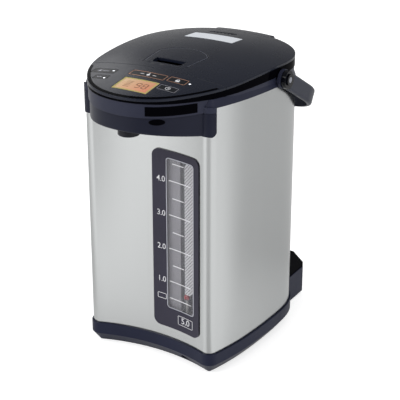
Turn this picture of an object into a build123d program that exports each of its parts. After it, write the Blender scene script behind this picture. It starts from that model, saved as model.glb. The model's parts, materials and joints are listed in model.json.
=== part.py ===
from build123d import *
from math import asin, cos, degrees, hypot, radians, sin
import os

# Electric thermo pot, 5 litre class. Millimetres, +Z up, the spout looks towards -Y.
# The origin lies on the table, in the middle of the pot's width and of its length from nose to inlet hood.

# ---------------------------------------------------------------- driving dimensions
# Walls and gaps
skin = 2.8
wall = 2.5
shell_thickness = 0.8
gap = 0.3
part_line = 0.35
seam_gap = 0.4
running_gap = 0.06
overlap = 0.2

# Parting line between the body and the lid: height over the origin, fall per millimetre to the rear
seam_height = 325.0
seam_slope = 0.03

# Dome of the lid and control panel: a torus patch with its crown over (0, crown_y)
crown_rise = 22.0
crown_height = seam_height + crown_rise
crown_y = 6.0
dome_radius_across = 502.0
dome_radius_along = 877.0

# Plan of the lid and control panel: an egg, narrow at the nose
lid_half_width = 97.0
lid_nose = 142.5
dome_reach = lid_half_width + 15.0
dome_depth = crown_rise + 53.0
lid_tail = 124.0
widest_y = 46.0
nose_radius = 73.0
nose_turn = 48.0
flank_turn = 82.0
haunch_radius = 115.0
haunch_turn = 10.0
tail_turn = 168.0
split_y = -66.0

# Plan of the steel shell: the same rear, and a hollow front between two tight corners
shell_step = 1.0
shell_half_width = lid_half_width + shell_step
shell_tail = lid_tail + shell_step
hollow_y = 77.0
hollow_radius = 207.0
corner_x = 73.5
corner_radius = 10.0
corner_turn = 74.0
side_turn = 84.0

# Shoulder band between the steel and the lid, and the step down to the beak
band_height = 10.4
shell_top_height = seam_height - band_height
shell_top_slope = 0.049
band_inset = 3.2
frame_inset = 0.8
parting_drop = 11.3
rim_wall = 3.1
beak_parting_height = seam_height - parting_drop

# Base
base_height = 27.0
foot_proud = 0.8
foot_radius = 10.0
foot_depth = 2.4
foot_x = 62.0
foot_y = 66.0
foot_spots = [(-foot_x, -foot_y), (foot_x, -foot_y), (-foot_x - 4, foot_y), (foot_x + 4, foot_y)]
base_flare = 2.0
bevel_run = 9.3
bevel_rise = 13.0
base_floor = 3.4
base_pocket_inset = 7.5
register_height = 5.0
screw_radius = 1.6
screw_head_radius = 3.2
screw_length = 12.0
screw_spots = [(-50.0, -72.0), (50.0, -72.0), (-78.0, 30.0), (78.0, 30.0)]
screw_boss_radius = 4.0
seat_posts = [(-70.0, 0.0), (70.0, 0.0), (-45.0, 80.0), (45.0, 80.0)]
seat_post_radius = 6.0

# Power board in the base
power_board_y = 57.5
power_board_width = 70.0
power_board_depth = 34.0
power_post_height = 8.6
power_post_radius = 3.0
power_post_inset = 5.0

# Water vessel and what carries it
vessel_y = 27.0
vessel_radius = 88.0
vessel_wall = 0.8
vessel_corner = 10.0
seat_rise = 13.0
seat_height = base_height + seat_rise
seat_thickness = 2.4
seat_ring_height = 17.0
seat_ring_radius = vessel_radius - 6.0
seat_rim = 9.0
vessel_bottom = seat_height + seat_ring_height
flange_drop = 25.0
flange_height = seam_height - flange_drop
neck_length = 9.0
neck_bottom = flange_height - neck_length
vessel_shoulder = neck_bottom - 11.0
mouth_radius = vessel_radius - 7.0
neck_radius = mouth_radius - 5.0
flange_radius = mouth_radius + 2.0
jacket_radius = vessel_radius + 6.0
jacket_wall = 0.6
jacket_bottom = vessel_bottom + 12.0
jacket_top = vessel_shoulder - 1.0
collar_width = 4.0
heater_radius = 54.0
heater_thickness = 4.0
thermostat_radius = 8.0
thermostat_height = 6.0
thermostat_x = 24.0

# Pump and motor
pump_x = 30.0
pump_y = -30.0
pump_radius = 19.0
pump_height = 15.0
pump_wall = 2.0
motor_radius = 17.0
motor_height = 16.3
motor_foot = 2.0
motor_bottom = base_floor + motor_foot
pump_bottom = motor_bottom + motor_height + gap
pump_top = pump_bottom + pump_height
axle_radius = 1.2
impeller_radius = 14.0
impeller_height = 8.0
impeller_hub = 3.4
impeller_plate = 1.4
blade_thickness = 1.4
blade_height = 6.0
blade_count = 6
outlet_height = pump_bottom + 8.0
nozzle_radius = 5.0
nozzle_bore = 3.5
nozzle_length = 9.0
stub_radius = 6.0
stub_bore = 4.4
stub_length = 8.0
stub_break = 1.0

# Sight tube, float and hoses
hose_radius = 6.9
hose_bore = 4.2
hose_cover = 2.8
hose_run_height = beak_parting_height - hose_cover - hose_radius
hose_bend = 8.5
tube_x = 40.0
notch_left = -24.0
notch_right = tube_x + 12.0
tube_y = -72.5
tube_radius = 5.5
tube_bore = 4.2
tube_bottom = vessel_bottom - 3.0
tube_socket = 6.0
tube_top_socket = 12.0
tube_top = hose_run_height - 36.0
float_radius = 3.7
float_rest = tube_bottom + 28.0
post_radius = 1.4

# Beak and spout
beak_inset = 2.0
beak_drop = 38.5
beak_edge_y = -85.0
beak_edge_height = seam_height - beak_drop
beak_floor_rise = 0.17
beak_lip_radius = 2.4
beak_rear_y = -60.0
cheek_end_y = -84.0
cheek_inner_x = 71.0
cheek_thickness = 1.5
cheek_corner = 8.0
cheek_rise = 1.2
spout_y = -123.0
spout_radius = 12.0
spout_flange = 3.0
spout_bottom = beak_edge_height + 0.5
spout_height = hose_run_height - hose_radius - 0.4 - spout_bottom
hose_end = spout_bottom + 4.3
strip_left = 29.0
strip_right = 69.0
strip_low = seam_height - 9.0
strip_high = seam_height + 1.0
strip_proud = 0.6
oval_x = 39.0
oval_y = -129.0
oval_height = seam_height - 16.0
oval_half_width = 8.5
oval_half_height = 3.2
oval_proud = 0.5

# Gauge panel on the hollow front
gauge_left = -1.0
gauge_right = 64.5
gauge_low = 41.0
gauge_high = 258.0
gauge_corner = 9.0
gauge_proud = 1.4
glue_line = 0.05
window_left = 17.0
window_right = 57.0
window_low = 66.0
window_high = 250.0
window_corner = 4.0
window_proud = 1.0
window_fit = 0.1
cutout_side = 7.5
cutout_left = window_left - cutout_side
cutout_right = window_right + 3.0
cutout_low = window_low - 4.0
cutout_high = window_high + 4.0
channel_left = cutout_left + 0.5
channel_right = cutout_right - 1.5
channel_low = cutout_low - 0.5
channel_high = cutout_high + 0.5
channel_wall = 1.2
channel_step_x = tube_x - 8.5
channel_back_y = tube_y + 7.7

# Control panel
bay_floor = beak_parting_height + skin
bay_rear_y = split_y - 3.5
board_rise = 5.5
board_height = bay_floor + board_rise
board_thickness = 1.6
board_posts = [(-58.0, -97.0), (60.0, -94.0), (-38.0, -124.0), (36.0, -126.0)]
board_post_radius = 3.0
display_x = 2.5
display_y = -112.4
display_width = 43.0
display_depth = 28.0
display_glass = 1.65
display_sink = 0.15
key_thickness = 2.2
key_travel = 0.8
key_corner = 1.5
stem_radius = 2.5
switch_size = 6.0
switch_height = 4.0
light_radius = 1.3
light_sink = 0.1
light_spots = [(-42.0, -87.3), (-41.0, -107.0), (51.4, -83.7)]

# Lid lever and latch
lever_half_front = 27.0
lever_half_rear = 31.0
lever_front_y = -52.0
lever_shoulder_y = -12.0
lever_rear_y = 6.0
lever_thickness = 3.6
lever_gap = 0.6
notch_half_width = 20.0
notch_y = -36.0
lever_pin_drop = 3.8
lever_pin_height = crown_height - lever_pin_drop
lever_pin_radius = 1.4
lug_width = 4.0
lug_radius = 3.0
lug_inset = 2.0
latch_half_width = 9.0
latch_drop = 14.8
latch_height = crown_height - latch_drop
latch_thickness = 3.0
latch_tail_y = lever_shoulder_y - 12.0
latch_chamfer = 1.8
keeper_clearance = 0.7
tray_floor = latch_height - gap
tray_wall = 2.0
dish_rim = 1.5
dish_depth = 7.8
dish_corner = 6.0

# Steam vent and blank label
vent_x = -10.0
vent_y = 93.0
vent_width = 36.0
vent_depth = 7.0
slot_count = 6
slot_width = 2.2
slot_margin = 3.0
grille_sink = 0.3
grille_thickness = 2.1
duct_radius = 5.5
duct_bore = 4.2
duct_y = vent_y - 2.0
label_x = -7.0
label_y = 65.0
label_width = 63.0
label_depth = 25.0
label_thickness = 0.25
label_lift = 0.1

# Lid hinge
hinge_y = lid_tail + 2.6
hinge_z = seam_height - 3.0
hinge_pin_radius = 2.0
barrel_radius = 4.6
middle_barrel = 13.0
outer_barrel = 34.0
arm_top = hinge_z + 12.0
cap_half_width = outer_barrel + 3.0
cap_thickness = 2.0
cap_front_y = lid_tail - 10.0
cap_box_y = lid_tail + 1.1
cap_rear_y = hinge_y + 7.4
cap_corner = 6.0
cap_shelf = arm_top + 0.8

# Lid insert
insert_radius = mouth_radius - 5.0
seal_height = 5.0
insert_bottom = flange_height + seal_height
liner_thickness = 2.2
inner_lid_radius = mouth_radius - 8.0
inner_lid_plate = 1.2
inner_lid_step = 3.0
inner_lid_margin = 14.0
gasket_clearance = 2.0

# Bail handle
pivot_y = 34.0
pivot_z = seam_height - 4.0
boss_radius = 11.0
boss_face = shell_half_width + 4.0
arm_inner = boss_face + 0.6
arm_thickness = 5.0
band_width = 20.0
bail_reach = 116.0
bail_corner = 55.0
bail_droop = 30.2
band_edge = 3.5
grip_half_length = 46.0
grip_thickness = 11.0
grip_width = 21.0
grip_corner = 4.0
pivot_pin_radius = 4.0
pin_cap_radius = 6.5
pin_cap_thickness = 1.4

# Power inlet on the rear
hood_left = 18.0
hood_right = 77.5
hood_rear = 150.0
hood_bottom = 3.0
hood_top = 37.0
hood_peak = hood_top + 32.0
hood_slope_drop = 26.5
hood_slope_length = 28.0
hood_corner = 3.0
hood_line = 0.1
hood_top_inset = 0.8
hood_wall = 6.0
hood_roof = 4.0
bay_left = hood_left + hood_wall
bay_width = 44.0
bay_right = bay_left + bay_width
bay_low = hood_bottom + hood_wall
bay_high = hood_top - hood_roof
socket_rear = hood_rear - 12.0
socket_depth = 9.0
socket_corner = 2.0
contact_radius = 2.2
contact_length = 6.0
contact_spacing = 14.0


# ---------------------------------------------------------------- plans, dome and planes
def arc_pair(turn_a, turn_b, turn_c, across, along):
    """Radii of two tangent arcs, heading a to b and b to c, that together span across and along."""
    a, b, c = radians(turn_a), radians(turn_b), radians(turn_c)
    ax, ay = sin(b) - sin(a), cos(a) - cos(b)
    bx, by = sin(c) - sin(b), cos(b) - cos(c)
    det = ax * by - ay * bx
    return (across * by - along * bx) / det, (along * ax - across * ay) / det


def rear_arcs(half_width, tail):
    """Arcs (radius, turn) from the widest point round to the middle of the rear."""
    across = -half_width + haunch_radius * (1 - cos(radians(haunch_turn)))
    along = tail - widest_y - haunch_radius * sin(radians(haunch_turn))
    rear_corner, rear = arc_pair(90 + haunch_turn, tail_turn, 180, across, along)
    return [(haunch_radius, haunch_turn), (rear_corner, tail_turn - 90 - haunch_turn), (rear, 180 - tail_turn)]


def plan(start_y, arcs, inset):
    """Mirrored outline of tangent arcs, moved inwards by inset. A negative turn is a hollow arc."""
    with BuildSketch() as face:
        with BuildLine():
            end, heading = (0, start_y + inset), (1, 0)
            for radius, turn in arcs:
                true_radius = radius - inset if turn > 0 else radius + inset
                arc = JernArc(start=end, tangent=heading, radius=true_radius, arc_size=turn)
                end, heading = arc @ 1, arc % 1
            mirror(about=Plane.YZ)
        make_face()
    return face.sketch


def lid_plan(inset=0.0):
    """Plan of the lid and the control panel."""
    across = lid_half_width - nose_radius * sin(radians(nose_turn))
    along = lid_nose + widest_y - nose_radius * (1 - cos(radians(nose_turn)))
    flank, side = arc_pair(nose_turn, flank_turn, 90, across, along)
    front = [(nose_radius, nose_turn), (flank, flank_turn - nose_turn), (side, 90 - flank_turn)]
    return plan(-lid_nose, front + rear_arcs(lid_half_width, lid_tail), inset)


def body_plan(inset=0.0):
    """Plan of the steel shell's outside."""
    hollow_turn = degrees(asin(corner_x / (hollow_radius + corner_radius)))
    hollow, corner = radians(hollow_turn), radians(corner_turn)
    corner_end_x = hollow_radius * sin(hollow) + corner_radius * (sin(corner) + sin(hollow))
    corner_end_y = -hollow_y - hollow_radius * (1 - cos(hollow)) + corner_radius * (cos(hollow) - cos(corner))
    across, along = shell_half_width - corner_end_x, widest_y - corner_end_y
    flank, side = arc_pair(corner_turn, side_turn, 90, across, along)
    front = [
        (hollow_radius, -hollow_turn),
        (corner_radius, hollow_turn + corner_turn),
        (flank, side_turn - corner_turn),
        (side, 90 - side_turn),
    ]
    return plan(-hollow_y, front + rear_arcs(shell_half_width, shell_tail), inset)


def prism(sketch, low, high):
    """Upright solid on a plan, from low to high."""
    with BuildPart() as block:
        with BuildSketch(Plane.XY.offset(low)):
            add(sketch)
        extrude(amount=high - low)
    return block.part


def dome_block(drop=0.0):
    """Solid below the lid's dome, lowered by drop."""
    half_turn = degrees(asin((lid_nose + crown_y + 20) / dome_radius_along))
    lean = radians(half_turn)
    centre = (0, crown_y, crown_height - dome_radius_along)
    section_plane = Plane(origin=centre, x_dir=(1, 0, 0), z_dir=(0, -cos(lean), -sin(lean)))
    across = dome_radius_across - drop
    crown = dome_radius_along - drop
    edge = crown - across + (across**2 - dome_reach**2) ** 0.5
    floor = crown - dome_depth
    with BuildPart() as block:
        with BuildSketch(section_plane):
            with BuildLine():
                ThreePointArc((-dome_reach, edge), (0, crown), (dome_reach, edge))
                Polyline((dome_reach, edge), (dome_reach, floor), (-dome_reach, floor), (-dome_reach, edge))
            make_face()
        revolve(axis=Axis(centre, (-1, 0, 0)), revolution_arc=2 * half_turn)
    return block.part


def dome_height(x, y):
    """Height of the dome's surface over a point of the plan."""
    fall_across = dome_radius_across - (dome_radius_across**2 - x**2) ** 0.5
    along = dome_radius_along - fall_across
    return crown_height - dome_radius_along + (along**2 - (y - crown_y) ** 2) ** 0.5


def tilted(height, slope, lift=0.0):
    """Plane at height over the origin that falls by slope towards the rear, raised by lift."""
    return Plane(origin=(0, 0, height + lift), x_dir=(1, 0, 0), z_dir=(0, slope, 1))


def below(block, plane):
    """The part of a solid that lies under a plane."""
    with BuildPart() as kept:
        add(block)
        split(bisect_by=plane, keep=Keep.BOTTOM)
    return kept.part


pieces = {}
standing = (Align.CENTER, Align.CENTER, Align.MIN)
under_dome = dome_block()
under_skin = dome_block(skin)
seam_plane = tilted(seam_height, seam_slope)
lid_seam_plane = tilted(seam_height, seam_slope, seam_gap)
shell_top_plane = tilted(shell_top_height, shell_top_slope)
panel_side = Plane(origin=(0, split_y - part_line / 2, 0), x_dir=(1, 0, 0), z_dir=(0, -1, 0))
lid_side = Plane(origin=(0, split_y + part_line / 2, 0), x_dir=(-1, 0, 0), z_dir=(0, 1, 0))
vessel_axis = Plane(origin=(0, vessel_y, 0))
front_wall = Plane.XZ.offset(hollow_y - 20)
front_depth = 60
tool_low = flange_height - 50
tool_tall = crown_height - tool_low + 10

# ---------------------------------------------------------------- base
with BuildPart() as base_cover:
    with BuildSketch(Plane.XY.offset(foot_proud)):
        add(body_plan(-base_flare))
    extrude(amount=base_height - foot_proud)
    bottom_face = base_cover.faces().sort_by(Axis.Z)[0]
    chamfer(bottom_face.edges(), length=bevel_run, length2=bevel_rise - foot_proud, reference=bottom_face)
    with BuildSketch(Plane.XY.offset(base_height)):
        add(body_plan(shell_thickness + gap))
    extrude(amount=register_height)
    with BuildSketch(Plane.XY.offset(base_floor)):
        add(body_plan(base_pocket_inset))
    extrude(amount=base_height + register_height, mode=Mode.SUBTRACT)
    with Locations((tube_x, tube_y, base_floor)):
        Cylinder(hose_radius + gap, base_height + register_height, align=standing, mode=Mode.SUBTRACT)
    with BuildSketch(Plane.XY.offset(base_floor)):
        with Locations(*seat_posts):
            Circle(seat_post_radius)
    extrude(amount=seat_height - base_floor)
    with BuildSketch(Plane.XY.offset(base_floor)):
        with Locations(*screw_spots):
            Circle(screw_boss_radius)
    extrude(amount=screw_length)
    with Locations((pump_x, pump_y, base_floor)):
        Cylinder(motor_radius, motor_foot, align=standing)
    with BuildSketch(Plane.XY.offset(base_floor)):
        with Locations((0, power_board_y)):
            with GridLocations(power_board_width - 2 * power_post_inset, power_board_depth - 8, 2, 2):
                Circle(power_post_radius)
    extrude(amount=power_post_height)
    with BuildSketch(Plane.XY):
        with Locations(*foot_spots):
            Circle(foot_radius + gap)
    extrude(amount=foot_depth, mode=Mode.SUBTRACT)
    with BuildSketch(Plane.XY):
        with Locations(*screw_spots):
            Circle(screw_head_radius + gap)
    extrude(amount=foot_depth + 1, mode=Mode.SUBTRACT)
    with BuildSketch(Plane.XY):
        with Locations(*screw_spots):
            Circle(screw_radius + running_gap)
    extrude(amount=screw_length + gap, mode=Mode.SUBTRACT)
pieces["base_cover"] = base_cover

with BuildPart() as feet:
    with BuildSketch(Plane.XY):
        with Locations(*foot_spots):
            Circle(foot_radius)
    extrude(amount=foot_depth)
pieces["feet"] = feet

with BuildPart() as base_screws:
    with BuildSketch(Plane.XY.offset(foot_proud)):
        with Locations(*screw_spots):
            Circle(screw_head_radius)
    extrude(amount=foot_depth + 1 - foot_proud)
    with BuildSketch(Plane.XY.offset(foot_proud)):
        with Locations(*screw_spots):
            Circle(screw_radius)
    extrude(amount=screw_length - foot_proud)
pieces["base_screws"] = base_screws

# ---------------------------------------------------------------- steel shell
with BuildPart() as body_shell:
    with BuildSketch(Plane.XY.offset(base_height)):
        add(body_plan())
        add(body_plan(shell_thickness), mode=Mode.SUBTRACT)
    extrude(amount=crown_height)
    split(bisect_by=shell_top_plane, keep=Keep.BOTTOM)
    with BuildSketch(front_wall):
        with Locations(((cutout_left + cutout_right) / 2, (cutout_low + cutout_high) / 2)):
            RectangleRounded(cutout_right - cutout_left, cutout_high - cutout_low, window_corner)
    extrude(amount=front_depth, mode=Mode.SUBTRACT)
    with BuildSketch(front_wall):
        with Locations(((notch_left + notch_right) / 2, hose_run_height - hose_radius - hose_bend)):
            Rectangle(notch_right - notch_left, band_height + 40, align=(Align.CENTER, Align.MIN))
    extrude(amount=front_depth, mode=Mode.SUBTRACT)
pieces["body_shell"] = body_shell

# ---------------------------------------------------------------- top frame: shoulder band and upper beak
hinge_line = Location((0, hinge_y, hinge_z), (0, 90, 0))
shell_envelope = below(prism(body_plan(-gap), base_height, crown_height), shell_top_plane)
with BuildSketch() as cheek_plan:
    add(body_plan(-cheek_thickness))
    with Locations((0, cheek_end_y)):
        Rectangle(2 * lid_nose, 2 * lid_nose, align=(Align.CENTER, Align.MIN), mode=Mode.SUBTRACT)
cheek_top_plane = tilted(shell_top_height, shell_top_slope, cheek_rise)
frame_cheek = below(prism(cheek_plan.sketch, beak_parting_height, crown_height), cheek_top_plane)
with BuildPart() as corner_band:
    with BuildSketch(shell_top_plane):
        add(body_plan(-gap / 2))
    with BuildSketch(tilted(shell_top_height, shell_top_slope, band_height - 1.4)):
        add(body_plan(band_inset))
    loft(ruled=True)
with BuildPart() as top_frame:
    with BuildSketch(Plane.XY.offset(tool_low)):
        add(lid_plan(frame_inset))
    extrude(amount=tool_tall)
    add(shell_envelope, mode=Mode.SUBTRACT)
    with Locations((0, beak_rear_y, beak_parting_height)):
        Box(2 * lid_nose, lid_nose, tool_tall, align=(Align.CENTER, Align.MAX, Align.MAX), mode=Mode.SUBTRACT)
    add(frame_cheek)
    add(shell_envelope, mode=Mode.SUBTRACT)
    add(corner_band.part)
    with BuildSketch(shell_top_plane):
        add(body_plan(shell_thickness + gap))
        add(body_plan(shell_thickness + gap + wall), mode=Mode.SUBTRACT)
    extrude(amount=-register_height)
    split(bisect_by=seam_plane, keep=Keep.BOTTOM)
    for side in (-1, 1):
        with Locations(Location((side * (shell_half_width + gap), pivot_y, pivot_z), (0, side * 90, 0))):
            Cylinder(boss_radius, boss_face - shell_half_width - gap, align=standing)
        with Locations((side * shell_half_width, pivot_y, pivot_z - 1)):
            Box(4 + 2 * gap, 2 * boss_radius - 4, 4)
    with BuildSketch(vessel_axis):
        Circle(mouth_radius)
    extrude(amount=crown_height, mode=Mode.SUBTRACT)
    with BuildSketch(Plane.XY.offset(bay_floor)):
        add(lid_plan(frame_inset + wall))
        with Locations((0, bay_rear_y)):
            Rectangle(2 * lid_nose, 2 * lid_nose, align=(Align.CENTER, Align.MIN), mode=Mode.SUBTRACT)
    extrude(amount=tool_tall, mode=Mode.SUBTRACT)

with BuildPart() as frame_fittings:
    with BuildSketch(Plane.XY.offset(bay_floor - 1)):
        with Locations(*board_posts):
            Circle(board_post_radius)
    extrude(amount=board_rise + 1)
    with Locations(hinge_line):
        Cylinder(barrel_radius, 2 * middle_barrel)
    with BuildSketch(Plane.YZ.offset(-middle_barrel)):
        Polygon(
            (lid_tail - 4, hinge_z - 2),
            (lid_tail - 4, shell_top_height - 2),
            (shell_tail + 0.6, shell_top_height - 2),
            (hinge_y - 0.6, hinge_z - barrel_radius),
            (hinge_y, hinge_z),
            align=None,
        )
    extrude(amount=2 * middle_barrel)
with BuildPart() as top_frame_whole:
    add(top_frame.part)
    for side in (-1, 1):
        with Locations(Location((side * (middle_barrel - gap), hinge_y, hinge_z), (0, side * 90, 0))):
            Cylinder(barrel_radius + 1, outer_barrel - middle_barrel + 3 * gap, align=standing, mode=Mode.SUBTRACT)
    add(frame_fittings.part)
    with Locations(hinge_line):
        Cylinder(hinge_pin_radius + running_gap, 4 * middle_barrel, mode=Mode.SUBTRACT)
    for side in (-1, 1):
        with Locations(Location((side * shell_half_width, pivot_y, pivot_z), (0, side * 90, 0))):
            Cylinder(pivot_pin_radius + running_gap, 2 * arm_thickness, align=standing, mode=Mode.SUBTRACT)
pieces["top_frame"] = top_frame_whole

# ---------------------------------------------------------------- lower beak and spout
def beak_floor_plane(lift=0.0):
    """Sloped underside of the beak, which rises towards the nose."""
    return Plane(
        origin=(0, beak_edge_y, beak_edge_height + lift), x_dir=(1, 0, 0), z_dir=(0, beak_floor_rise, 1)
    )


body_reach = prism(body_plan(-gap), tool_low, crown_height)
beak_inside = prism(lid_plan(beak_inset + wall), tool_low, crown_height)
with BuildPart() as beak_pocket:
    add(beak_inside)
    split(bisect_by=beak_floor_plane(wall), keep=Keep.TOP)
with BuildPart() as cheek_trim:
    with BuildSketch(Plane.YZ.offset(cheek_inner_x)):
        with Locations((cheek_end_y, beak_edge_height)):
            Rectangle(2 * cheek_corner, 2 * cheek_corner)
        with Locations((cheek_end_y - cheek_corner + part_line, beak_edge_height + cheek_corner)):
            Circle(cheek_corner, mode=Mode.SUBTRACT)
    extrude(amount=lid_half_width - cheek_inner_x)
    mirror(about=Plane.YZ)
with BuildPart() as beak:
    with BuildSketch(Plane.XY.offset(tool_low)):
        add(lid_plan(beak_inset))
        with Locations((0, beak_rear_y)):
            Rectangle(2 * lid_nose, 2 * lid_nose, align=(Align.CENTER, Align.MIN), mode=Mode.SUBTRACT)
        add(cheek_plan.sketch)
    extrude(amount=beak_parting_height - gap - tool_low)
    split(bisect_by=beak_floor_plane(), keep=Keep.TOP)
    add(body_reach, mode=Mode.SUBTRACT)
    floor_edges = beak.faces().sort_by(Axis.Z)[0].edges()
    fillet(floor_edges.sort_by(Axis.Y)[:2], radius=beak_lip_radius)
    add(cheek_trim.part, mode=Mode.SUBTRACT)
    add(beak_pocket.part, mode=Mode.SUBTRACT)
    with Locations((0, spout_y, spout_bottom)):
        Cylinder(spout_radius + gap, tool_tall, mode=Mode.SUBTRACT)
pieces["beak"] = beak

with BuildPart() as spout_collar:
    with Locations((0, spout_y, spout_bottom)):
        Cylinder(spout_radius + spout_flange, spout_height, align=standing)
    split(bisect_by=beak_floor_plane(wall + gap), keep=Keep.TOP)
with BuildPart() as spout_nozzle:
    with Locations((0, spout_y, spout_bottom)):
        Cylinder(spout_radius, spout_height, align=standing)
    fillet(spout_nozzle.faces().sort_by(Axis.Z)[0].edges(), radius=1.5)
    add(spout_collar.part)
    with Locations((0, spout_y, spout_bottom)):
        Cylinder(stub_bore, spout_height, align=standing, mode=Mode.SUBTRACT)
    with Locations((0, spout_y, hose_end - gap)):
        Cylinder(hose_radius + running_gap, spout_height, align=standing, mode=Mode.SUBTRACT)
    with Locations((0, spout_y, hose_run_height - hose_bend - gap)):
        Cylinder(spout_radius - 2, spout_height, align=standing, mode=Mode.SUBTRACT)
pieces["spout_nozzle"] = spout_nozzle

with BuildPart() as beak_strip:
    with BuildSketch(Plane.XY.offset(strip_low)):
        add(lid_plan(frame_inset - strip_proud))
        add(lid_plan(frame_inset - glue_line), mode=Mode.SUBTRACT)
    extrude(amount=strip_high - strip_low)
    with Locations((strip_left, -lid_nose, strip_low)):
        Box(strip_right - strip_left, lid_nose / 2, band_height, align=Align.MIN, mode=Mode.INTERSECT)
pieces["beak_strip"] = beak_strip

oval_plane = Plane(origin=(oval_x, oval_y, oval_height), x_dir=(0.9, 0.45, 0), z_dir=(0.45, -0.9, 0))
with BuildPart() as beak_oval:
    with BuildSketch(oval_plane.offset(-12)):
        Ellipse(oval_half_width, oval_half_height)
    extrude(amount=30)
    add(prism(lid_plan(beak_inset - oval_proud), tool_low, crown_height), mode=Mode.INTERSECT)
    add(prism(lid_plan(beak_inset - glue_line), tool_low, crown_height), mode=Mode.SUBTRACT)
pieces["beak_oval"] = beak_oval

# ---------------------------------------------------------------- control panel
with BuildPart() as panel_rim:
    with BuildSketch(Plane.XY.offset(tool_low)):
        add(lid_plan())
        add(lid_plan(rim_wall), mode=Mode.SUBTRACT)
    extrude(amount=tool_tall)
    add(under_skin, mode=Mode.INTERSECT)
    split(bisect_by=seam_plane, keep=Keep.TOP)
    split(bisect_by=panel_side, keep=Keep.TOP)
pieces["panel_rim"] = panel_rim

keys = {
    "key_dispense": (1.0, -85.2, 44.4, 13.0),
    "key_unlock": (36.8, -84.0, 23.2, 12.6),
    "key_timer": (37.4, -105.0, 23.2, 11.6),
    "key_keep_warm": (-52.5, -89.0, 30.0, 11.0),
    "key_reboil": (-45.9, -105.3, 17.8, 9.4),
}
with BuildPart() as panel_cover:
    with BuildSketch(Plane.XY.offset(tool_low)):
        add(lid_plan())
        with Locations((display_x, display_y)):
            Rectangle(display_width, display_depth, mode=Mode.SUBTRACT)
        for x, y, width, depth in keys.values():
            with Locations((x, y)):
                RectangleRounded(width, depth, key_corner, mode=Mode.SUBTRACT)
        with Locations(*light_spots):
            Circle(light_radius + running_gap, mode=Mode.SUBTRACT)
    extrude(amount=tool_tall)
    add(under_dome, mode=Mode.INTERSECT)
    add(under_skin, mode=Mode.SUBTRACT)
    split(bisect_by=panel_side, keep=Keep.TOP)
with BuildPart() as bulkhead:
    with BuildSketch(Plane.XY.offset(bay_floor)):
        add(lid_plan(rim_wall + gap))
        with Locations((0, split_y - part_line / 2)):
            Rectangle(2 * lid_half_width, wall, align=(Align.CENTER, Align.MAX), mode=Mode.INTERSECT)
    extrude(amount=tool_tall)
    add(dome_block(skin - overlap), mode=Mode.INTERSECT)
    split(bisect_by=tilted(seam_height, seam_slope, gap), keep=Keep.TOP)
    with Locations((0, split_y, latch_height + latch_thickness / 2)):
        Box(2 * latch_half_width + 2, 20, latch_thickness + 2 * keeper_clearance, mode=Mode.SUBTRACT)
with BuildPart() as panel_cover_whole:
    add(panel_cover.part)
    add(bulkhead.part)
pieces["panel_cover"] = panel_cover_whole

for name, (x, y, width, depth) in keys.items():
    stem_bottom = board_height + board_thickness + switch_height + key_travel + gap
    with BuildPart() as key:
        with BuildSketch(Plane.XY.offset(tool_low)):
            with Locations((x, y)):
                RectangleRounded(width - 2 * part_line, depth - 2 * part_line, key_corner - part_line)
            with Locations(*light_spots):
                Circle(light_radius + gap, mode=Mode.SUBTRACT)
        extrude(amount=tool_tall)
        add(under_dome, mode=Mode.INTERSECT)
        add(dome_block(key_thickness), mode=Mode.SUBTRACT)
        with BuildSketch(Plane.XY.offset(stem_bottom)):
            with Locations((x, y)):
                Circle(stem_radius)
        extrude(amount=dome_height(x, y) - key_thickness / 2 - stem_bottom)
    pieces[name] = key

with BuildPart() as display_window:
    with BuildSketch(Plane.XY.offset(tool_low)):
        with Locations((display_x, display_y)):
            Rectangle(display_width - 2 * running_gap, display_depth - 2 * running_gap)
    extrude(amount=tool_tall)
    add(dome_block(display_sink), mode=Mode.INTERSECT)
    add(dome_block(display_sink + display_glass), mode=Mode.SUBTRACT)
pieces["display_window"] = display_window

board_top = board_height + board_thickness
display_top = dome_height(display_x, display_y - display_depth / 2) - skin - gap
with BuildPart() as display_module:
    with BuildSketch(Plane.XY.offset(board_top)):
        with Locations((display_x, display_y)):
            Rectangle(display_width + 2, display_depth + 1)
    extrude(amount=display_top - 1.0 - board_top)
pieces["display_module"] = display_module

with BuildPart() as control_board:
    with BuildSketch(Plane.XY.offset(board_height)):
        add(lid_plan(frame_inset + wall + gap))
        with Locations((0, bay_rear_y - gap)):
            Rectangle(2 * lid_nose, 2 * lid_nose, align=(Align.CENTER, Align.MIN), mode=Mode.SUBTRACT)
    extrude(amount=board_thickness)
pieces["control_board"] = control_board

with BuildPart() as key_switches:
    for x, y, width, depth in keys.values():
        with Locations((x, y, board_top)):
            Box(switch_size, switch_size, switch_height, align=standing)
pieces["key_switches"] = key_switches

with BuildPart() as light_pipes:
    with BuildSketch(Plane.XY.offset(board_top)):
        with Locations(*light_spots):
            Circle(light_radius)
    extrude(amount=tool_tall)
    add(dome_block(light_sink), mode=Mode.INTERSECT)
pieces["light_pipes"] = light_pipes

# ---------------------------------------------------------------- lid
def lever_outline(grow=0.0, notched=True):
    """Plan of the lid lever: an arched rear, straight sides and a finger notch at the front."""
    with BuildSketch() as face:
        with BuildLine():
            front_left = (-lever_half_front - grow, lever_front_y - grow)
            front_right = (lever_half_front + grow, lever_front_y - grow)
            rear_left = (-lever_half_rear - grow, lever_shoulder_y + grow)
            rear_right = (lever_half_rear + grow, lever_shoulder_y + grow)
            Polyline(rear_left, front_left, front_right, rear_right)
            ThreePointArc(rear_right, (0, lever_rear_y + grow), rear_left)
        make_face()
        if notched:
            with Locations((0, notch_y + grow)):
                Rectangle(2 * notch_half_width, 40, align=(Align.CENTER, Align.MAX), mode=Mode.SUBTRACT)
    return face.sketch


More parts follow.
